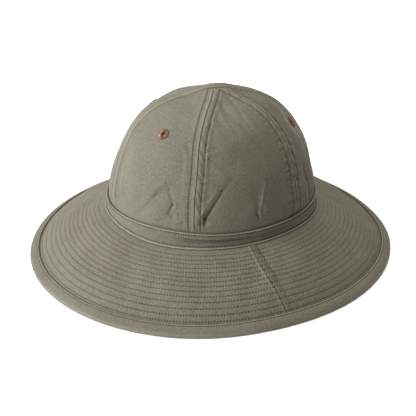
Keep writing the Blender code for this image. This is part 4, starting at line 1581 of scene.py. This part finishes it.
def makeEyelet(name):
    # a buttonholed ring: threads laid side by side from the hole to the rim, on both faces
    angle, climb = (np.array([value * 1.0]) for value in eyelets["places"][name])
    middle, normal = crownBase(angle, climb)[0], crownNormal(angle, climb)[0]
    across = normalized(np.cross((0, 0, 1), normal))
    up = np.cross(normal, across)
    wraps = eyelets["wraps"]
    turns = np.linspace(0, 2 * math.pi, wraps * eyelets["wrapPoints"], endpoint=False)
    parted = 1 - np.abs(np.cos(turns * wraps / 2)) ** 0.7
    wobble = 1 + sum(share * ripple(turns / (2 * math.pi) * waves, kind)
                     for share, waves, kind in eyelets["wobble"])
    top, low = gap, -crown["wall"] - 2 * gap
    middling = (top + low) / 2
    hole, rim, thread = eyelets["hole"], eyelets["radius"], eyelets["thread"]
    # radius, height, how much the threads' ridges show there
    section = [
        (hole, low - 0.3 * thread, 0.0), (hole, middling, 0.3), (hole * 1.05, top + 0.3 * thread, 0.5),
        (hole * 1.35, top + 0.85 * thread, 1.0), (hole * 2.0, top + 1.0 * thread, 1.0),
        (rim * 0.70, top + 0.95 * thread, 1.0), (rim * 0.88, top + 0.75 * thread, 1.0),
        (rim * 0.98, top + 0.35 * thread, 0.8), (rim, top - 0.1 * thread, 0.4),
        (rim * 0.96, top - 0.5 * thread, 0.0), (rim * 0.5, top - 0.5 * thread, 0.0),
        (rim * 0.5, low + 0.4 * thread, 0.0), (rim * 0.96, low + 0.4 * thread, 0.0), (rim, low, 0.4),
        (rim * 0.92, low - 0.6 * thread, 1.0), (rim * 0.6, low - 0.9 * thread, 1.0),
        (hole * 1.4, low - 0.7 * thread, 1.0)]
    inward, down = eyelets["grooves"]
    spokes = across * np.cos(turns)[:, None] + up * np.sin(turns)[:, None]
    loops = []
    for radius, height, ridge in section:
        out = radius * (wobble if radius > hole * 2 else 1.0) - inward * ridge * parted
        rise = height - np.sign(height - middling) * down * ridge * parted
        loops.append(middle + spokes * out[:, None] + normal * rise[:, None])
    sections = np.stack(loops, axis=1)
    # painted shade inside the hole, and a darker outer rim
    dark = np.array([eyelets["rimShade"] * (radius >= rim * 0.97) + (radius <= hole * 1.05)
                     for radius, _, _ in section])
    marks = {"shade": np.broadcast_to(dark, sections.shape[:2])}
    addRing("eyelet" + name, sections, turns, rim / 2, marks, copperThread)


for name in eyelets["places"]:
    makeEyelet(name)
print("eyelets made")


# Rows of stitches

def makeStitches():
    crownRows, crownInside, brimTop, brimUnder = [], [], [], []
    for index in range(len(panelNames)):
        for side in (-1, 1):
            path, normal, _ = seamPath(index, side)
            crownRows.append(sewRow(path, normal, "crown"))
            inside = path - normal * (crown["wall"] + sewing["insideGap"])
            crownInside.append(sewRow(inside, -normal, "crown"))
    for share in brim["rows"]:
        brimTop.append(freshenRow(sewRow(*brimRow(share)[1:], "brim")))
        brimUnder.append(sewRow(*brimRow(share, under=True)[1:], "brim"))
    bandRows = [sewRow(path, outwards(angle), "band") for angle, path in map(bandRow, band["stitchRows"])]
    bindingTop, bindingUnder = (sewRow(*bindingRow(under), "binding") for under in (False, True))
    seen, hidden = sewing["sides"], sewing["sidesUnder"]
    pieces = (("crownStitches", crownRows, "crown_cloth", seen),
              ("crownStitchesInside", crownInside, "crown_cloth", hidden),
              ("bandStitches", bandRows, "band_cloth", seen),
              ("brimStitches", brimTop, "brim_cloth", seen),
              ("brimStitchesUnder", brimUnder, "brim_cloth", hidden),
              ("bindingStitches", [bindingTop], "binding_cloth", seen),
              ("bindingStitchesUnder", [bindingUnder], "binding_cloth", hidden))
    for seed, (name, rows, slot, sides) in enumerate(pieces, start=1):
        addStitches(name, rows, seed, sides)


makeStitches()
print("stitches made")


# Floor and light

studio = {
    "floor": 40.0,
    "floorColour": (0.90, 0.90, 0.90),
    "floorPatches": 0.99,     # how dark its soft patches are
    "sky": 0.08,
    "aim": 0.06,              # height that the lights point at
}

# Each light stands at a turn round the hat and a tilt above the floor.
lights = [
    {"name": "low side light", "turn": -2.0, "tilt": 15.0, "distance": 1.6, "size": 1.1, "power": 59.0,
     "colour": (1.0, 1.0, 1.06)},
    {"name": "top light", "turn": 0.0, "tilt": 88.0, "distance": 2.4, "size": 1.8, "power": 67.0,
     "colour": (1.0, 0.985, 0.95)},
    {"name": "back light", "turn": -120.0, "tilt": 55.0, "distance": 2.0, "size": 1.4, "power": 27.0,
     "colour": (1.0, 0.985, 0.94)},
    {"name": "front light", "turn": 50.0, "tilt": 35.0, "distance": 1.8, "size": 1.2, "power": 6.0,
     "colour": (1.0, 0.985, 0.94)},
]


def addLight(light):
    direction = directionAt(light["turn"], light["tilt"])
    lamp = bpy.data.objects.new(light["name"], bpy.data.lights.new(light["name"], "AREA"))
    lamp.data.shape = "DISK"
    lamp.data.size = light["size"]
    lamp.data.energy = light["power"]
    lamp.data.color = light["colour"]
    lamp.location = direction * light["distance"] + Vector((0, 0, studio["aim"]))
    lamp.rotation_euler = direction.to_track_quat("Z", "Y").to_euler()
    scene.collection.objects.link(lamp)


def makeStudio():
    bpy.ops.mesh.primitive_plane_add(size=studio["floor"])
    floor = bpy.context.object
    floor.name = "floor"
    material, tree, shader = newMaterial("pale floor")
    place = tree.nodes.new("ShaderNodeTexCoord").outputs["Object"]
    dust = addNoise(tree, place, 3.0, 3.0)
    colour = studio["floorColour"]
    patchy = addMix(tree, dust, tinted(colour, studio["floorPatches"]), tinted(colour))
    tree.links.new(patchy, shader["Base Color"])
    shader["Roughness"].default_value = 0.9
    floor.data.materials.append(material)
    world = bpy.data.worlds.new("soft sky")
    world.use_nodes = True
    sky = world.node_tree.nodes["Background"].inputs
    sky["Color"].default_value = (1, 1, 1, 1)
    sky["Strength"].default_value = studio["sky"]
    scene.world = world
    for light in lights:
        addLight(light)
    scene.view_settings.view_transform = "Standard"
    print("studio made")


makeStudio()
